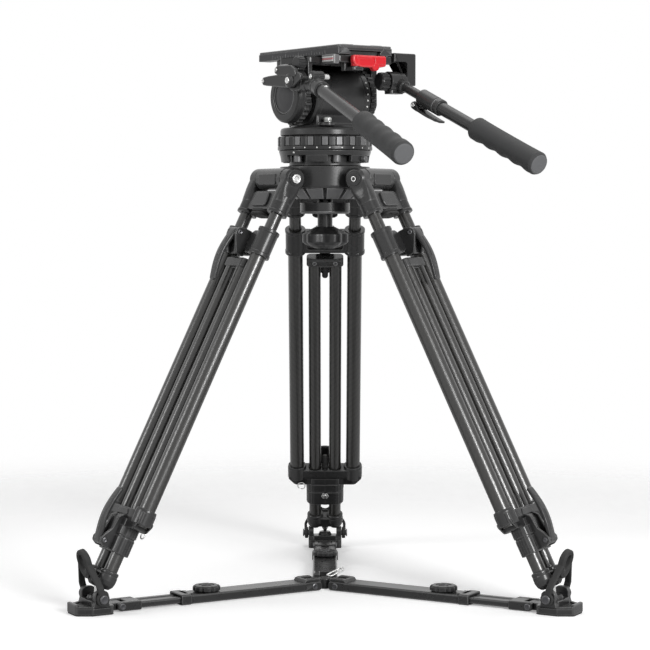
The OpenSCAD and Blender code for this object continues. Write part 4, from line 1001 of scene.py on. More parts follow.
def arm_channel(name):
    """Hollow inner arm with a collar at its mouth, a ramp behind the collar and a forked end at the hub."""
    place, body = arm_frame(name), name + "_arm"
    hollow = rect(-BAR_Y - 0.6, BAR_Y + 0.6, BAR_LOW - 0.6, BAR_TOP + 0.6)
    tube = framed(rect(-ARM_W2, ARM_W2, ARM_Z0, ARM_Z1), hollow, 36, MOUTH_R, 0.5, 2)
    collar = framed(rect(-ARM_W2 - 1.6, ARM_W2 + 1.6, 0.3, ARM_Z1 + 1.6), hollow, MOUTH_R - 11, MOUTH_R + 3,
                    1.0, 2.4)
    ramp = [(KNOB_R + 19, ARM_Z1 - 1), (MOUTH_R - 4, ARM_Z1 - 1), (MOUTH_R - 4, ARM_Z1 + 1.6),
            (KNOB_R + 25, ARM_Z1 + 1.6)]
    cheek = [(ARM_END_R, ARM_Z0), (38, ARM_Z0), (38, ARM_Z1), (ARM_END_R, ARM_Z1)]
    crest = [(ARM_END_R + 1, ARM_Z1 - 1), (40, ARM_Z1 - 1), (37, ARM_Z1 + 3.4), (33, ARM_Z1 + 4.4),
             (18, ARM_Z1 + 4.4), (ARM_END_R + 1, ARM_Z1 + 3)]
    cheeks = pair(lay(prism(cheek, 6.7, ARM_W2, 1.0, [4, 1, 1, 4]), "y"),
                  lay(prism(crest, 6.7, ARM_W2 - 2, 1.4, 2), "y"))
    back = [block(34, 44, -ARM_W2 + 0.5, ARM_W2 - 0.5, ARM_Z0 + 0.3, ARM_Z1 - 0.3, 0.8, 1),
            lay(prism([(33.4, ARM_Z1 - 1), (40, ARM_Z1 - 1), (37, ARM_Z1 + 3.4), (33.4, ARM_Z1 + 4.3)],
                      -8, 8, 0.8, 1.2), "y")]
    pad = block(MOUTH_R - 9, MOUTH_R + 1, -7, 7, 0, 1.6, 0.5, 2)
    seat = lay(turned([(3.2, ARM_Z1 - 0.6), (12.5, ARM_Z1 - 0.6), (12.5, ARM_Z1 + 0.2),
                       (3.2, ARM_Z1 + 0.2)], 0.2, ring=True), "z", (KNOB_R, 0, 0))
    shapes = [lay(tube, "x"), lay(collar, "x"), lay(prism(ramp, -11, 11, 0.8, 1.2), "y"), pad,
              seat] + cheeks + back
    piece(name + "_channel", body, "casting", placed(shapes, place), name + "_arm_channel")
    pin = turned([(0, 10), (2.5, 10), (2.5, 15.6), (4.1, 15.8), (4.1, 16.9), (3, 17.4), (0, 17)], 0.3, 32)
    piece(name + "_channel_pin", body, "blued", placed(pair(lay(pin, "y", (24, 0, ARM_MID))), place))


def arm_knob(name):
    """Scalloped clamp knob: its radius is 17.5 (1 - 0.1 c^2) with c = max(0, cos 8a), under a shallow
    dished top."""
    place = moved(arm_frame(name), KNOB_R, 0, ARM_Z1)
    body = name + "_arm_knob"

    def rim(angle, radius, height):
        return 1 - 0.1 * np.maximum(0, np.cos(8 * angle)) ** 2
    disc = turned([(0, 0.5), (15.5, 0.5), (17.5, 2), (17.5, 6), (15.6, 7.8), (10.4, 8.2), (9.6, 7.2),
                   (0, 7.2)], 0.8, 128, rim)
    piece(name + "_knob_disc", body, "knob", placed([disc], place), name + "_arm_knob")
    cap = turned([(0, 6.8), (6.4, 6.8), (6.4, 7.9), (4.6, 9), (0, 9.2)], 0.6, 40)
    piece(name + "_knob_cap", body, "plate", placed([cap] + screw(2.4, 0.9, "z", (0, 0, 8.8)), place))


def spreader_hub():
    """Hub between the three arms, its tongues, and the wire bail that lifts it."""
    shapes = placed([block(4, 30, -5.9, 5.9, 2, ARM_Z1 - 1, 1.0, 4)], arm_frame("rear"))
    for name in ("left", "right"):
        shapes += placed([block(2, 11, -4, 4, 2, ARM_Z1 - 1, 1.0, 2)], arm_frame(name))
    shapes.append(turned([(0, 0), (9, 0), (9, ARM_Z1 + 0.4), (7.6, ARM_Z1 + 1.8), (0, ARM_Z1 + 1.8)], 1.0))
    piece("hub", "rear_arm", "casting", shapes, "spreader_hub")
    at = np.array([6, 0, ARM_Z1 + 3.4])
    loop = fillet([(0, -5.6), (22, -5.6), (22, 5.6), (0, 5.6)], [1.5, 4.5, 4.5, 1.5], steps=8, hold=1.0)
    loop = divided(loop, 2.0)
    bail = wire(np.c_[loop, np.zeros(len(loop))], 1.2, (0, 0, 1), True)
    shapes = placed([bail], (about_y(-BAIL_RISE), at)) + [lay(rod(1.2, -4, 0.4, 0.3, 16), "z", at)]
    piece("hub_bail", "rear_arm", "steel", placed(shapes, about_z(np.radians(30))))


# Crown, bowl and tie-down

def crown():
    """Bowl casting: a shell round the half ball, twelve ribs under it in a paler grey that paints the light
    they catch from below, three hinge lugs and their bolts."""
    a = np.radians(np.linspace(4, 54, 7))
    bowl = np.stack([50.2 * np.cos(a), BOWL_Z - 50.2 * np.sin(a)], -1).tolist()
    base = HINGE_Z - 24.5
    shell = turned([(58, BOWL_Z), (51, BOWL_Z)] + bowl
                   + [(31, base), (33.4, base), (41, HINGE_Z - 17), (48.5, HINGE_Z - 12.4),
                      (57, HINGE_Z - 11), (58, HINGE_Z - 8)], 0.8, 96, ring=True)
    rows = [(33, base - 0.4), (37.6, base - 0.4), (54, HINGE_Z - 11), (46, HINGE_Z - 11)]
    ribs = [sector(rows, 30 * i + 2.8, 30 * i + 27.2, 12, 0.8) for i in range(12)]
    lug = [(52, -14), (85, -14), (85, 14), (57, 14)]
    panel = rect(-22, 22, -7, 7)
    shapes = [shell]
    bolts, washers = [], []
    for name in LEGS:
        place = moved(arm_frame(name), 0, 0, HINGE_Z)
        lugs = [lay(prism(lug, -LUG_Y, LUG_Y, 1.2, [1, 13.9, 13.9, 2]), "y"),
                lay(prism(panel, 83.5, 85.8, 0.8, 2), "x")]
        shapes += placed(lugs, place)
        head = screw(6.2, 3, "y", (HINGE_R, EYE_OUT + 0.6, 0))
        end = lay(pipe(3.4, 2.2, -EYE_OUT - 2.2, -EYE_OUT, 0.3, 32), "y", (HINGE_R, 0, 0))
        bolts += placed(head + [end], place)
        washer = lay(pipe(8.8, 4.4, EYE_OUT, EYE_OUT + 0.9, 0.3), "y", (HINGE_R, 0, 0))
        stem = lay(rod(3, -EYE_OUT - 1.8, -EYE_OUT, 0.3, 32), "y", (HINGE_R, 0, 0))
        washers += placed(pair(washer) + [stem], place)
    piece("crown_casting", "crown", "casting", shapes, "crown")
    # The ribs take the paler rail grey: a painted highlight for the light they catch from the floor.
    piece("crown_ribs_painted_highlight", "crown", "rail", ribs)
    piece("hinge_bolt_heads", "crown", "steel", bolts, "hinge_bolts")
    piece("hinge_washers", "crown", "knob", washers)


def head_base():
    """Half ball, the skirt above it with six windows and a bolt head in each, its knob and index dot, and
    the tie-down stud with its cup."""
    a = np.arcsin(np.linspace(-37 / 49.7, 0, 9))
    ball = np.stack([49.7 * np.cos(a), BOWL_Z + 49.7 * np.sin(a)], -1).tolist()
    top = SKIRT_Z + 15
    core = turned([(0, BOWL_Z - 37)] + ball + [(46, BOWL_Z + 1.5), (46, top), (0, top)], 0.5, 96)
    band = turned([(47, SKIRT_Z + 8.5), (58, SKIRT_Z + 8.5), (59.2, SKIRT_Z + 13), (59.5, top), (45, top)],
                  0.7, 96, ring=True)
    hub = rod(54.9, top - 1, RING_Z + RING_H + 0.4, 0.4, 96)
    foot_rows = [(52.5, SKIRT_Z + 9), (52.5, SKIRT_Z + 1), (53.5, SKIRT_Z), (56.5, SKIRT_Z),
                 (58, SKIRT_Z + 9)]
    posts = [sector(foot_rows, 60 * i - 54.5, 60 * i - 26.5, 16, 0.7) for i in range(6)]
    piece("ball_and_skirt", "head_base", "casting", [core, band, hub] + posts, "head_base")
    bolt = lay(rod(5.4, SKIRT_Z - 0.4, SKIRT_Z + 9.5, 0.8), "z", (50.4, 0, 0))
    piece("skirt_bolts", "head_base", "rail", spun(bolt, 6, -73))
    knob = lay(turned([(0, 57), (3.6, 57), (3.6, 62), (2.8, 63), (0, 63)], 0.5, 32, toothed(12, 0.08, 3)),
               "x", (0, 0, SKIRT_Z + 4))
    piece("skirt_knob", "head_base", "rail", placed([knob], about_z(np.radians(-34))))
    dot = lay(rod(1.2, 58.4, 59.7, 0.2, 20), "x", (0, 0, SKIRT_Z + 12))
    piece("pan_index_dot", "head_base", "white", placed([dot], about_z(np.radians(227.8))))
    stud_rows = [(0, BOWL_Z - 92), (8.6, BOWL_Z - 92), (9.6, BOWL_Z - 91), (9.6, BOWL_Z - 61),
                 (11, BOWL_Z - 60), (28, BOWL_Z - 60), (31, BOWL_Z - 58.6), (32, BOWL_Z - 56.6),
                 (32, BOWL_Z - 46), (28.4, BOWL_Z - 46), (28, BOWL_Z - 50), (10, BOWL_Z - 50),
                 (9.6, BOWL_Z - 36.8), (0, BOWL_Z - 36.8)]
    piece("tie_down_cup", "head_base", "casting", [turned(stud_rows, 0.7, 72)], "tie_down_stud")
    # Pale ring round the cup's lower edge: a painted highlight where its rounded edge catches the light.
    rim = [(29, BOWL_Z - 60.4), (30.4, BOWL_Z - 60.4), (32.4, BOWL_Z - 58.4), (32.4, BOWL_Z - 57),
           (29, BOWL_Z - 57)]
    piece("tie_down_rim_highlight", "head_base", "rail", [turned(rim, 0.4, 72, ring=True)])


def tie_down_knob():
    """Five-lobed knob round the stud: outside the hub its radius is multiplied by 1 - 0.24 h, where the
    hollow h between the lobes is ((1 - cos 5a) / 2)^1.4."""
    top = BOWL_Z - 77

    def lobes(angle, radius, height):
        hollow = ((1 - np.cos(5 * (angle + np.radians(130)))) / 2) ** 1.4
        return 1 - 0.24 * hollow * np.clip((radius - 12) / 8, 0, 1)
    rows = [(9.95, top - 28), (13, top - 28), (26, top - 23.4), (30.5, top - 20), (30.5, top - 9.6),
            (26, top - 6.6), (12.4, top), (9.95, top)]
    piece("tie_down_grip", "tie_down_knob", "knob", [turned(rows, 2.0, 160, lobes, True)], "tie_down_knob")


def pan_drag_ring():
    """Drag ring with twenty notches round its upper part, a pale bar in each notch that paints the
    highlight of its curved groove, and a row of dots on its lower band.
    """
    z = RING_Z - 3
    rows = [(55.4, z), (60.4, z), (61, z + 0.8), (61, z + 4.2), (60.4, z + 4.8), (61, z + 5.4),
            (61, z + 16), (59.6, z + 17.5), (55.4, z + 17.5)]
    ring = turned(rows, 0.4, 320, toothed(20, 0.044, 58, z + 5), True)
    piece("pan_drag_grip", "pan_drag_ring", "knob", [ring], "pan_drag_ring")
    # A pale bar stands in each notch: a painted highlight of the light on the curved groove.
    flute_highlight = sector([(57.4, z + 5.6), (59.6, z + 5.6), (59.6, z + 15.6), (58.6, z + 16.8), (57.4, z + 16.8)],
                   -3.3, 3.3, 6, 0.5)
    piece("pan_drag_flute_highlights", "pan_drag_ring", "rail", spun(flute_highlight, 20))
    dot = lay(rod(0.9, 60.2, 61.25, 0.15, 16), "x", (0, 0, z + 2.4))
    dots = [d for i in range(8) for d in placed([dot], about_z(np.radians(230 + 15.2 * i)))]
    piece("pan_drag_dots", "pan_drag_ring", "white", dots)


# Fluid head

def lock_lever(name, body, node, place, reach, knob_y):
    """Small lock lever: a turned boss, a tapering arm and a round tip."""
    y0, y1 = reach
    boss = lay(turned([(0, y0), (6, y0), (6, y1 - 1), (5, y1), (0, y1)], 0.7, 40), "y")
    arm = lay(prism([(0, -4.2), (24, -3.2), (29, 0), (24, 3.2), (0, 4.2)], knob_y - 3, knob_y + 3, 1.4,
                    [1, 3, 3, 3, 1]), "y")
    tip = lay(rod(4.4, knob_y - 3.6, knob_y + 3.4, 1.6, 32), "y", (26, 0, 0))
    shapes = placed([boss, arm, tip], place)
    if np.linalg.det(place[0]) < 0:
        shapes = [turned_out(s) for s in shapes]
    piece(name, body, "knob", shapes, node)


def pan_housing():
    """Pan housing with its saddle under the barrel, the level vial and both lock levers."""
    z, top = HOUSING_Z, HOUSING_TOP
    disc = turned([(0, z), (56.8, z), (57.5, z + 0.8), (57.5, top - 6), (56.4, top - 3.4), (53, top - 2.2),
                   (45.6, top - 2.2), (44, top), (0, top)], 1.0, 96)
    saddle = lay(prism([(-33, top - 1), (33, top - 1), (31, top + 13), (25, top + 17), (-25, top + 17),
                        (-31, top + 13)], 3.5 - BARREL_LEFT, BARREL_RIGHT - 3.5, 2.2, 4), "x")
    apron = block(4 - BARREL_LEFT, BARREL_RIGHT - 4, -36, 36, top - 1, top + 4, 1.6, 4)
    cup = turned([(0, top - 0.5), (9, top - 0.5), (9, top + 3), (8, top + 4), (6.6, top + 4),
                  (6.6, top + 1), (0, top + 1)], 0.4, 48)
    shapes = [disc, saddle, apron, lay(cup, "z", VIAL_AT)]
    piece("pan_housing_casting", "pan", "casting", placed(shapes, HEAD), "pan_housing")
    vial = turned([(0, top + 1), (5, top + 1), (5, top + 8.6), (4, top + 10), (0, top + 10.4)], 0.8, 40)
    piece("level_vial", "pan", "vial", placed([lay(vial, "z", VIAL_AT)], HEAD))
    bubble = turned([(4.9, top + 5.6), (5.2, top + 5.6), (5.2, top + 6.4), (4.9, top + 6.4)], 0.1, 32,
                    ring=True)
    piece("level_vial_ring", "pan", "knob", placed([lay(bubble, "z", VIAL_AT)], HEAD))
    lock_lever("pan_lock_arm", "pan_lock", "pan_lock", moved(HEAD, 14, 0, HOUSING_Z + 6.2), (58, 70.5), 66.5)
    lock_lever("tilt_lock_arm", "tilt_lock", "tilt_lock",
               within(HEAD, (np.diag([-1.0, 1, 1]), np.array([12, 0, HOUSING_TOP + 7]))), (33.4, 43), 39)


def tilt_barrel():
    """Tilt barrel with grooves near its ends, its shaft, and a row of dots beside the drag ring."""
    left, right, r = -BARREL_LEFT, BARREL_RIGHT, BARREL_R
    rows = [(0, left), (r - 2, left), (r, left + 2), (r, left + 8), (r - 0.8, left + 8.6), (r, left + 9.2),
            (r, right - 10), (r - 0.8, right - 9.4), (r, right - 8.8), (r, right - 1.4), (r - 1.4, right),
            (0, right)]
    barrel = lay(turned(rows, 0.4, 96), "x")
    shaft = lay(rod(9.8, -DIAL_END + 5.2, RIGHT_ARM_X + 9.6, 0.5), "x")
    piece("barrel", "pan", "casting", placed([barrel, shaft], TILT), "tilt_barrel")
    end = turned([(0, RIGHT_ARM_X + 9.5), (15, RIGHT_ARM_X + 9.5), (15, RIGHT_ARM_X + 11),
                  (13, RIGHT_ARM_X + 12.4), (0, RIGHT_ARM_X + 13)], 0.6, 56)
    piece("shaft_cap", "pan", "plate",
          placed([lay(end, "x")] + screw(4, 1.2, "x", (RIGHT_ARM_X + 12.8, 0, 0)), TILT))
    dot = rod(1.2, r - 0.4, r + 0.35, 0.2, 20)
    dots = []
    for a in np.radians(np.arange(60, 150, 12)):
        turn = np.array([[1, 0, 0], [0, np.cos(a), -np.sin(a)], [0, np.sin(a), np.cos(a)]])
        dots += placed([lay(dot, "z", (right - 5, 0, 0))], (turn, np.zeros(3)))
    piece("tilt_drag_dots", "pan", "white", placed(dots, TILT))


def dials():
    """Counterbalance dial with its toothed lip and bare domed centre, and the toothed tilt drag ring."""
    x0, x1 = -DIAL_END, -DIAL_X
    rows = [(0, x0 + 1.6), (22.4, x0 + 1.9), (23.2, x0 + 0.4), (24.2, x0), (31, x0 + 0.4), (33.4, x0 + 2.6),
            (34, x0 + 6), (34, x1 - 7.6), (36, x1 - 6.8), (36, x1 - 0.6), (35.4, x1), (10.2, x1),
            (10.2, x0 + 5), (0, x0 + 5)]
    piece("dial_casting", "counterbalance_dial", "casting",
          placed([lay(turned(rows, 0.6, 240, toothed(30, 0.045, 34.6)), "x")], TILT), "counterbalance_dial")
    ring = lay(pipe(22.3, 21, x0 + 0.7, x0 + 2.4, 0.3, 72), "x")
    piece("dial_ring", "counterbalance_dial", "rail", placed([ring], TILT))
    dome = lay(turned([(0, x0 + 0.2), (12, x0 + 0.6), (20.6, x0 + 1.6), (20.6, x0 + 3), (0, x0 + 3)],
                      1.0, 72), "x")
    piece("dial_centre", "counterbalance_dial", "plate", placed([dome], TILT))
    x0, x1 = RING_X, RING_X + 9
    rows = [(10.2, x0), (36, x0), (38.4, x0 + 0.8), (38.4, x1 - 0.8), (36, x1), (10.2, x1)]
    piece("tilt_drag_grip", "tilt_drag_ring", "knob",
          placed([lay(turned(rows, 0.5, 240, toothed(30, 0.055, 35.5), True), "x")], TILT), "tilt_drag_ring")


def arm_plate(r, half, x0, x1):
    """Side arm of the cradle: a plate that hangs from the platform and ends in a round about the shaft."""
    a = np.linspace(np.pi + 0.35, 2 * np.pi - 0.35, 24)
    arc = np.stack([r * np.cos(a), r * np.sin(a)], -1).tolist()
    return lay(bored(arc + [(half, r * 0.4), (half, PLATFORM_TOP - 0.4), (-half, PLATFORM_TOP - 0.4),
                            (-half, r * 0.4)], (0, 0), 10.3, x0, x1, 1.2, 3), "x")


def cradle():
    """Tilt cradle: platform with a dovetail rail, two side arms, the lock's shelf and both handle
    brackets."""
    z0, z1, rail = PLATFORM_Z, PLATFORM_TOP, PLATFORM_TOP + 5
    lx, ly, lz = LEFT_PIVOT
    rx, ry, rz = RIGHT_PIVOT
    platform = [block(-38, 46, RAIL_BACK, RAIL_FRONT, z0, z1, 1.4, 4),
                block(-44.2, RIGHT_ARM_X + 9, -24, 24, z0, z1, 1.2, 3),
                lay(prism([(-19, z1 - 1), (19, z1 - 1), (24, rail), (-24, rail)], RAIL_BACK, RAIL_FRONT,
                          0.4, [0.5, 0.5, 1.2, 1.2]), "y")]
    arms = [arm_plate(26, 24, RIGHT_ARM_X, RIGHT_ARM_X + 9),
            arm_plate(30, 20, -BARREL_LEFT - 6.8, -BARREL_LEFT - 1)]
    px, py = LOCK_PIN
    shelf = [block(px - 10, px + 10, -80, -72, z0 - 10, z0 + 1, 1.0, 1.5),
             block(px - 8, px + 8, py - 6, -72, z0 - 10, z0 - 5.6, 0.8, 3)]
    wing = prism([(-36, ly - 13), (lx, ly - 13), (lx - 3, 2), (lx + 5, 8), (-36, -22)], z0, z1 - 1.5, 1.2,
                 [1, 5, 6, 4, 1])
    hanger = [(ly - 13, lz - 13), (ly + 13, lz - 13), (ly + 13, lz + 6), (ly + 11.5, z0 + 4),
              (ly - 12, z0 + 4), (ly - 13, lz + 6)]
    left = [wing, lay(prism(hanger, lx, lx + 6.4, 1.0, [12, 12, 6, 3, 3, 6]), "x")]
    far = rx + 16
    corner = [(46.2, z0 + 2.4), (rx + 1, z0 + 2.4), (rx + 1, rz - 4.6), (far, rz - 4.6), (far, rail),
              (46.2, rail)]
    bracket = lay(prism(corner, ry - 8, ry + 8, 1.0, [0.5, 2, 1.2, 1.6, 2.2, 0.5]), "y")
    drum = lay(turned([(0, rx), (10, rx), (10.6, rx + 0.6), (10.6, rx + 2), (4, rx + 2.6), (4, far),
                       (0, far)], 0.5, 64), "x", (0, ry, rz))
    shapes = platform + arms + shelf + left + [bracket, drum]
    piece("cradle_casting", "tilt", "casting", placed(shapes, TILT), "tilt_cradle")
    rail_block = block(-45.5, -37, -86, -58, z0 - 2, z1 + 0.4, 1.0, 1.5)
    piece("rail_block", "tilt", "rail", placed([rail_block], TILT))
    strips = [block(-46.1, -45, -84, -60, z, z + 1.9, 0.3, 0.5) for z in (z0 + 1, z0 + 5.4)]
    piece("rail_block_marks", "tilt", "white", placed(strips, TILT))
    piece("rail_block_stripe", "tilt", "pink",
          placed([block(-46.1, -45, -84, -60, z0 + 3.2, z0 + 5.1, 0.3, 0.5)], TILT))
    fluted = lay(turned([(0, lx - 14), (7.4, lx - 14), (9, lx - 12.4), (9, lx - 4), (6, lx - 2),
                         (6, lx + 1), (0, lx + 1)], 0.7, 120, toothed(14, 0.1, 8)), "x", (0, -50, z0 - 1))
    piece("bracket_knob", "tilt", "knob", placed([fluted], TILT))
    screws = screw(4.6, -1.6, "x", (lx + 0.2, ly, z0 - 3)) + screw(3.6, 1.8, "x", (far - 0.2, ry, rz))
    pin = lay(rod(2.4, z0 - 10, z1 - 1, 0.3, 24), "z", (*LOCK_PIN, 0))
    piece("cradle_screws", "tilt", "steel", placed(screws + [pin], TILT))


def camera_plate():
    """Sliding plate: a dovetail groove below, bevelled rims, a slot with two screws, rubber strips and a
    scale."""
    z0, z1, y0, y1, half = PLATE_Z, PLATE_Z + 12, SLIDE_BACK, SLIDE_FRONT, SLIDE_HALF
    side = lay(prism([(20.8, z0), (half, z0), (half, z0 + 9), (28.4, z0 + 9)], y0, y1, 0.6,
                     [1.6, 0.5, 0.5, 0.5]), "y")
    middle = block(0.4 - half, half - 0.4, y0 + 0.4, y1 - 0.4, z0 + 5.1, z0 + 8.8, 0.3)
    slab = framed(rect(-half, half, y0, y1), [(-3.6, -44), (3.6, -44), (3.6, 58), (-3.6, 58)], z0 + 8.4, z1,
                  1.8, [3, 3, 3, 3])
    piece("plate_slab", "camera_plate", "plate", placed([side, mirrored(side, 0), middle, slab], TILT),
          "camera_plate")
    screws = []
    for y in (-8, 24):
        screws.append(lay(turned([(0, z0 + 8), (3.1, z0 + 8), (3.1, z1 + 0.2), (2.2, z1 + 1), (0, z1 + 1)],
                                 0.3, 32), "z", (0, y, 0)))
    piece("plate_screws", "camera_plate", "steel", placed(screws, TILT))
    strips = [block(x - 9, x + 9, y0 + 6, y1 - 6, z1 - 0.6, z1 + 0.8, 0.4, 3) for x in (-22, 22)]
    piece("plate_strips", "camera_plate", "rubber", placed(strips, TILT))
    ticks = []
    for i, y in enumerate(np.arange(-60, 66, 6.0)):
        tall = 5.0 if i % 5 == 0 else 2.8
        ticks.append(block(-half - 0.25, 0.4 - half, y - 0.35, y + 0.35, z0 + 1.6, z0 + 1.6 + tall, 0.1, 0.1))
    piece("plate_scale", "camera_plate", "rail", placed(ticks, TILT))


def plate_lock():
    """Red lever along the platform's edge: an arm on a hub, a round lobe below, a raised pad and a thumb
    strip."""
    place = moved(TILT, *LOCK_PIN, 0)
    z0, z1 = PLATFORM_Z - 5, PLATFORM_TOP - 0.6
    side = [(-5, z0 + 1.4), (4, z0 - 1), (34, z0 - 0.6), (42, z0 + 1), (42, z1), (-8, z1), (-8.4, z0 + 6.4)]
    arm = lay(prism(side, -6.4, 1.8, 1.8, [4, 4, 4, 2.4, 2, 3, 4]), "y")
    hub = rod(6.5, z0, z1, 1.0)
    lobe = lay(turned([(0, -7.6), (3.6, -7.4), (5.6, -6), (5.6, 1.2), (0, 1.2)], 1.0, 48), "y",
               (26, 0, z0 + 0.6))
    pad = lay(prism([(24, z0 + 3), (40.8, z0 + 3), (40.8, z1 - 1.2), (24, z1 - 1.2)], -7.6, -6, 0.7, 2.4),
              "y")
    thumb = lay(prism([(-4, z1 - 5), (20, z1 - 4.6), (20, z1 - 2), (-4, z1 - 2)], -7, -6, 0.4, 1.2), "y")
    piece("plate_lock_red", "plate_lock_lever", "red", placed([arm, hub, lobe, pad, thumb], place),
          "plate_lock_lever")


# Handles

def grip(name, body, node, place, start, side):
    """Foam grip on a handle. With s from its near end its radius is 14.5 (0.955 + 0.05 |2s - 1|^3). On one
    side it dips between the fingers by the factor 1 - 0.055 f (1 + cos(10 pi s)), where f fades with the
    angle from that side and towards both ends."""
    def wave(angle, radius, height):
        s = np.clip((height - start) / GRIP_L, 0, 1)
        fade = np.clip(np.cos(angle - side), 0, 1) ** 0.8 * np.clip(np.sin(np.pi * s) * 3, 0, 1)
        return 1 - 0.055 * fade * (1 + np.cos(10 * np.pi * s))
    z = start + GRIP_L * np.linspace(0.03, 0.965, 60)
    s = (z - start) / GRIP_L
    r = GRIP_R * (0.955 + 0.05 * np.abs(2 * s - 1) ** 3)
    end = start + GRIP_L
    rows = ([(0, start), (GRIP_R - 3, start)] + np.stack([r, z], -1).tolist()
            + [(GRIP_R - 2, end - 1), (0, end - 1)])
    piece(name, body, "grip", placed([turned(rows, 1.4, 72, wave)], place), node)
    cap = turned([(0, end - 2), (GRIP_R - 2.6, end - 2), (GRIP_R - 2.6, end - 0.6), (GRIP_R - 4, end),
                  (0, end + 0.4)], 0.5, 48)
    piece(name + "_cap", body, "cap", placed([cap], place))


def left_handle():
    """Left handle: clamp disc, stub and elbow, the bar with its collar, the grip and the two-winged clamp
    lever."""
    lx, ly, lz = LEFT_PIVOT
    x0, x1 = lx - 14.4, lx - 0.6
    disc = lay(turned([(0, x0), (12, x0), (13, x0 + 1), (13, x1 - 4), (12.2, x1 - 3.4), (13, x1 - 2.8),
                       (13, x1 - 0.8), (12, x1), (0, x1)], 0.6, 72), "x", (0, ly, lz))
    neck = lay(prism([(ly - 17, lz - 13), (ly, lz - 13), (ly, lz + 8), (ly - 17, lz + 5)],
                     x0 + 0.4, x1 - 0.4, 1.6, [4, 2, 2, 4]), "x")
    stub = lay(turned([(0, -88), (6.5, -88), (5.8, -70), (6.6, -69), (6.6, -62), (5.8, -61), (6.5, -50),
                       (0, -50)], 0.6), "y", (ELBOW[0], 0, ELBOW[2]))
    elbow = turned([(0, -9.6), (5.4, -8), (8.6, -4.4), (9.6, 0), (8.6, 4.4), (5.4, 8), (0, 9.6)], 3.5)
    shapes = placed([disc, neck, stub], TILT) + placed([elbow], LEFT_BAR)
    far = LEFT_L - GRIP_L + 20
    bar = [turned([(0, 4), (10.6, 4), (10.6, 6), (9.8, 7), (9.8, 17), (10.6, 18), (10.6, 21), (9, 22.4),
                   (0, 22.4)], 0.6), rod(8, 8, far, 0.5)]
    piece("left_bar", "left_handle", "casting", shapes + placed(bar, LEFT_BAR), "left_handle_bar")
    set_screw = placed(screw(2.6, 1.4, "z", (0, 0, 7.4)), along((0, 0, 32), np.array([-1.0, 0, 0])))
    piece("left_bar_screw", "left_handle", "steel", placed(set_screw, LEFT_BAR))
    grip("left_grip_foam", "left_handle", "left_grip", LEFT_BAR, LEFT_L - GRIP_L, np.pi)
    ex, ey, ez = ELBOW + [0, 0, 10.5]
    rosette = lay(turned([(0, ex - 7), (6, ex - 7), (7, ex - 6), (7, ex + 0.4), (5.6, ex + 1),
                          (7, ex + 1.6), (7, ex + 9), (6, ex + 10), (0, ex + 10)],
                         0.4, 144, toothed(18, 0.1, 6.4)), "x", (0, ey, ez))
    saddle = block(ex - 6, ex + 9, ey - 5, ey + 5, ez - 12, ez - 2, 1.0, 2)
    piece("left_elbow_clamp", "left_handle", "casting", placed([rosette, saddle], TILT))
    bolt = lay(turned([(0, ex + 9.6), (3.8, ex + 9.6), (3.8, ex + 18), (2.6, ex + 19.6), (0, ex + 20)],
                      0.6, 40), "x", (0, ey, ez))
    bolts = [bolt] + screw(3, -1.8, "x", (ex - 6.8, ey, ez))
    piece("left_elbow_bolt", "left_handle", "steel", placed(bolts, TILT))
    place = moved(TILT, 0, ly, lz)
    x0, x1 = lx - 20, lx - 15
    wing = lay(prism([(-24, 1), (-8, -7), (8, -8.6), (54, -4), (61, -3), (65.4, 2), (61, 7), (50, 8),
                      (8, 9.4), (-18, 10), (-24, 7)], x0, x1, 1.4, [3, 6, 6, 5, 4, 4, 4, 5, 6, 4, 3]), "x")
    short = lay(prism([(-16, 4), (24, 7), (33, 11), (32, 17), (26, 20), (-4, 19), (-14, 14)],
                      x0 - 1.4, x1 - 1, 1.4, [4, 5, 4, 4, 4, 6, 4]), "x")
    hub = lay(turned([(0, x0 - 3), (6, x0 - 3), (9.4, x0 - 1), (9.6, x1), (0, x1)], 0.8, 56), "x")
    piece("left_clamp_wings", "left_clamp_lever", "casting", placed([wing, short, hub], place),
          "left_clamp_lever")
    ends = (screw(2.6, -1.6, "x", (x0 + 0.4, 60, 2)) + screw(2.6, -1.8, "x", (x0 - 1, 27.5, 14.4))
            + screw(4.2, -1.4, "x", (x0 - 2.6, 0, 0)))
    piece("left_clamp_screws", "left_clamp_lever", "steel", placed(ends, place))


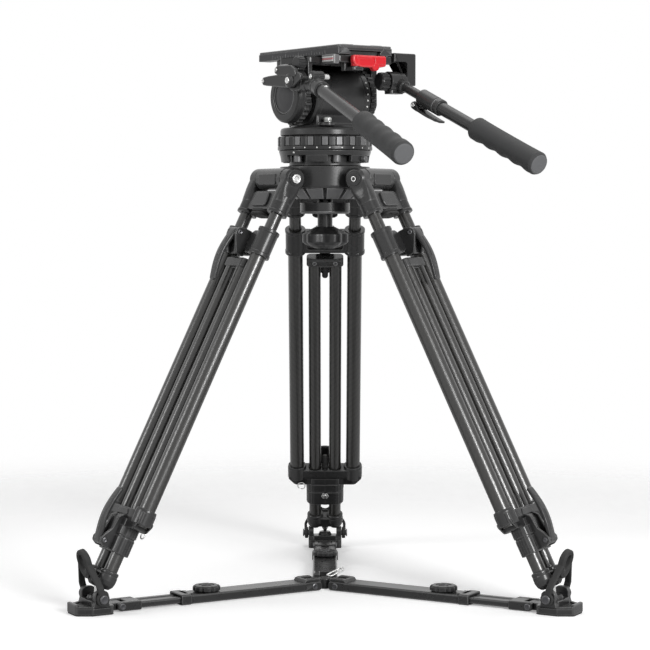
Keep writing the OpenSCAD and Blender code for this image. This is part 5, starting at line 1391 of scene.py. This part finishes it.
def right_handle():
    """Right handle: a clamp disc with a flange and a rod; on the rod slides the tube with its collar, grip
    and the lever that lies along it; a fluted knob tightens the disc."""
    rx, ry, rz = RIGHT_PIVOT
    x0, x1 = rx - 24, rx - 0.5
    disc = turned([(0, x0), (12.2, x0), (13, x0 + 0.8), (13, x0 + 15.4), (12.4, x0 + 16), (13, x0 + 16.6),
                   (13, x1 - 0.8), (12.2, x1), (0, x1)], 0.5, 96)
    flange = block(x0 + 1, x1 - 2, ry - 8, ry + 8, rz - 15.4, rz - 10.6, 0.8, 3)
    boss = turned([(0, 6), (8.4, 6), (8.4, 18.4), (7, 20), (0, 20)], 0.6)
    shapes = (placed([lay(disc, "x", (0, ry, rz)), flange], TILT)
              + placed([boss, rod(6, 18, 150, 0.6)], RIGHT_BAR))
    piece("right_arm", "right_handle", "casting", shapes, "right_handle_arm")
    near, far = 55, RIGHT_L - GRIP_L + 20
    tube = pipe(8, 6.4, near + 0.4, far, 0.3)
    collar = turned([(8.05, near), (9.6, near), (10.5, near + 1), (10.5, near + 30.4), (9.9, near + 31),
                     (9.9, near + 33.4), (10.5, near + 34), (10.5, near + 39.6), (9.4, near + 41),
                     (8.05, near + 41)], 0.5, ring=True)
    lug = lay(prism([(8.6, near - 10), (16, near - 10), (16, near - 0.6), (12.6, near + 0.4),
                     (12.6, near + 11), (8.6, near + 11)], -4, 4, 0.8, [2, 3.4, 1.6, 1, 2, 1]), "y")
    piece("right_tube", "right_handle_end", "casting", placed([tube, collar, lug], RIGHT_BAR),
          "right_handle_tube")
    line = pipe(10.3, 9.4, near + 31.4, near + 33, 0.3)
    piece("right_collar_line", "right_handle_end", "rail", placed([line], RIGHT_BAR))
    grip("right_grip_foam", "right_handle_end", "right_grip", RIGHT_BAR, RIGHT_L - GRIP_L, 0.0)
    place = moved(RIGHT_BAR, 12.5, 0, near - 5)
    side = [(-3.9, -3.9), (4.2, -3.9), (5.2, 6), (5.2, 12), (1.4, 12), (-1.5, 8), (-3.9, 3)]
    cheeks = pair(lay(prism(side, 4.5, 7.5, 0.7, [3.8, 3.8, 2, 1, 1, 2, 2]), "y"))
    t = np.linspace(0, 1, 20)
    path = np.stack([3.2 + 0.9 * np.sin(np.pi * t), np.zeros(20), 9 + 43 * t], 1)
    blade = strip(path, 7.5 - 2.6 * t ** 2, 2.0 - 0.7 * t ** 2, (0, 1, 0), 5, 28)
    rib = strip(path[3:16] + [1.7, 0, 0], 3.4, 0.8, (0, 1, 0), 4, 20)
    piece("right_lever_blade", "right_handle_lever", "knob", placed(cheeks + [blade, rib], place),
          "right_handle_lever")
    pins = pair(*screw(3.2, 1.5, "y", (0, 7.2, 0)))
    piece("right_lever_trim", "right_handle_lever", "steel", placed(pins, place))
    x0, x1 = rx - 37, rx - 24.5
    knob = turned([(0, x0 - 0.6), (8, x0 - 0.4), (11, x0 + 1), (11.6, x0 + 2.4), (11.6, x1 - 1), (10.6, x1),
                   (0, x1)], 0.8, 144, toothed(12, 0.12, 10.4))
    piece("right_clamp_grip", "right_clamp_knob", "knob", placed([lay(knob, "x", (0, ry, rz))], TILT),
          "right_clamp_knob")


for leg in LEGS:
    yoke(leg)
    tubes(leg)
    clamps(leg)
    clamp_lever(leg, "upper", UPPER_PIVOT, 1.0)
    clamp_lever(leg, "lower", LOWER_PIVOT, -1.0)
    foot(leg)
    foot_plate(leg)
    strap(leg)
    arm_channel(leg)
    arm_knob(leg)
spreader_hub()
crown()
head_base()
tie_down_knob()
pan_drag_ring()
pan_housing()
tilt_barrel()
dials()
cradle()
camera_plate()
plate_lock()
left_handle()
right_handle()


# Floor, light and camera

def floor():
    """Pale floor disc that fades out between 0.5 and 1.6 metres from the tripod."""
    points, _, quads, caps = rod(3000, -10, 0, 2.0, 96)
    mesh = bpy.data.meshes.new("floor")
    mesh.from_pydata((points / 1000).tolist(), [], quads.tolist() + [cap.tolist() for cap in caps])
    f = Finish("pale floor", 0.8)
    grain = f.use(GRAIN, Vector=f.place, Scale=40.0)
    f.colour(mixed(f.tree, grain["Tone"], (0.9, 0.9, 0.9), (0.93, 0.93, 0.93)))
    f.shader.inputs["Specular IOR Level"].default_value = 0.1
    length = f.tree.nodes.new("ShaderNodeVectorMath")
    length.operation = "LENGTH"
    fade = f.tree.nodes.new("ShaderNodeMapRange")
    fade.interpolation_type = "SMOOTHSTEP"
    for label, value in (("From Min", 0.5), ("From Max", 1.6), ("To Min", 1.0), ("To Max", 0.0)):
        fade.inputs[label].default_value = value
    f.tree.links.new(f.place, length.inputs[0])
    f.tree.links.new(length.outputs["Value"], fade.inputs["Value"])
    f.tree.links.new(fade.outputs[0], f.shader.inputs["Alpha"])
    seen = f.tree.nodes.new("ShaderNodeLightPath").outputs["Is Camera Ray"]
    f.shader.inputs["Emission Color"].default_value = (1, 1, 1, 1)
    f.tree.links.new(math_node(f.tree, "MULTIPLY", seen, 0.3), f.shader.inputs["Emission Strength"])
    mesh.materials.append(f.material)
    obj = bpy.data.objects.new("floor", mesh)
    bpy.context.scene.collection.objects.link(obj)


def surround(soft):
    """White surround: full strength where the camera, a reflection or a see-through piece looks at it, soft
    as a light."""
    world = bpy.data.worlds.new("white surround")
    world.use_nodes = True
    bpy.context.scene.world = world
    tree = world.node_tree
    path = tree.nodes.new("ShaderNodeLightPath").outputs
    seen = math_node(tree, "ADD", math_node(tree, "ADD", path["Is Camera Ray"], path["Is Glossy Ray"]),
                     path["Is Transmission Ray"], clamp=True)
    strength = math_node(tree, "ADD", math_node(tree, "MULTIPLY", seen, 1.0 - soft), soft)
    background = tree.nodes["Background"]
    background.inputs["Color"].default_value = (1, 1, 1, 1)
    tree.links.new(strength, background.inputs["Strength"])


def lamp(name, at, to, size, power):
    """Soft square lamp at a point, facing another."""
    light = bpy.data.lights.new(name, "AREA")
    light.shape = "SQUARE"
    light.size = size
    light.energy = power
    obj = bpy.data.objects.new(name, light)
    bpy.context.scene.collection.objects.link(obj)
    z = np.array(at, float) - np.array(to, float)
    z = z / np.linalg.norm(z)
    x = np.cross([0, 0, 1.0], z) if abs(z[2]) < 0.99 else np.array([1.0, 0, 0])
    x = x / np.linalg.norm(x)
    matrix = np.eye(4)
    matrix[:3, 0], matrix[:3, 1], matrix[:3, 2], matrix[:3, 3] = x, np.cross(z, x), z, at
    obj.matrix_world = matrix.T.tolist()


def camera(at, pitch, lens):
    """Camera at a point, looking along y and down by pitch degrees."""
    data = bpy.data.cameras.new("camera")
    data.lens = lens
    data.sensor_width = 36.0
    obj = bpy.data.objects.new("camera", data)
    obj.location = at
    obj.rotation_euler = (np.radians(90 - pitch), 0, 0)
    bpy.context.scene.collection.objects.link(obj)
    bpy.context.scene.camera = obj


floor()
surround(0.25)
lamp("right front window", (1.4, -2.3, 1.1), (0, 0, 0.35), 0.8, 66)
lamp("left window", (-2.3, -0.9, 1.3), (0, 0, 0.35), 0.8, 18)
lamp("top window", (0.2, 0.4, 2.6), (0, 0, 0.2), 1.8, 18)
camera((0, -2.6545, 0.4966), 3.298, 113.58)
bpy.context.scene.view_settings.view_transform = "Standard"
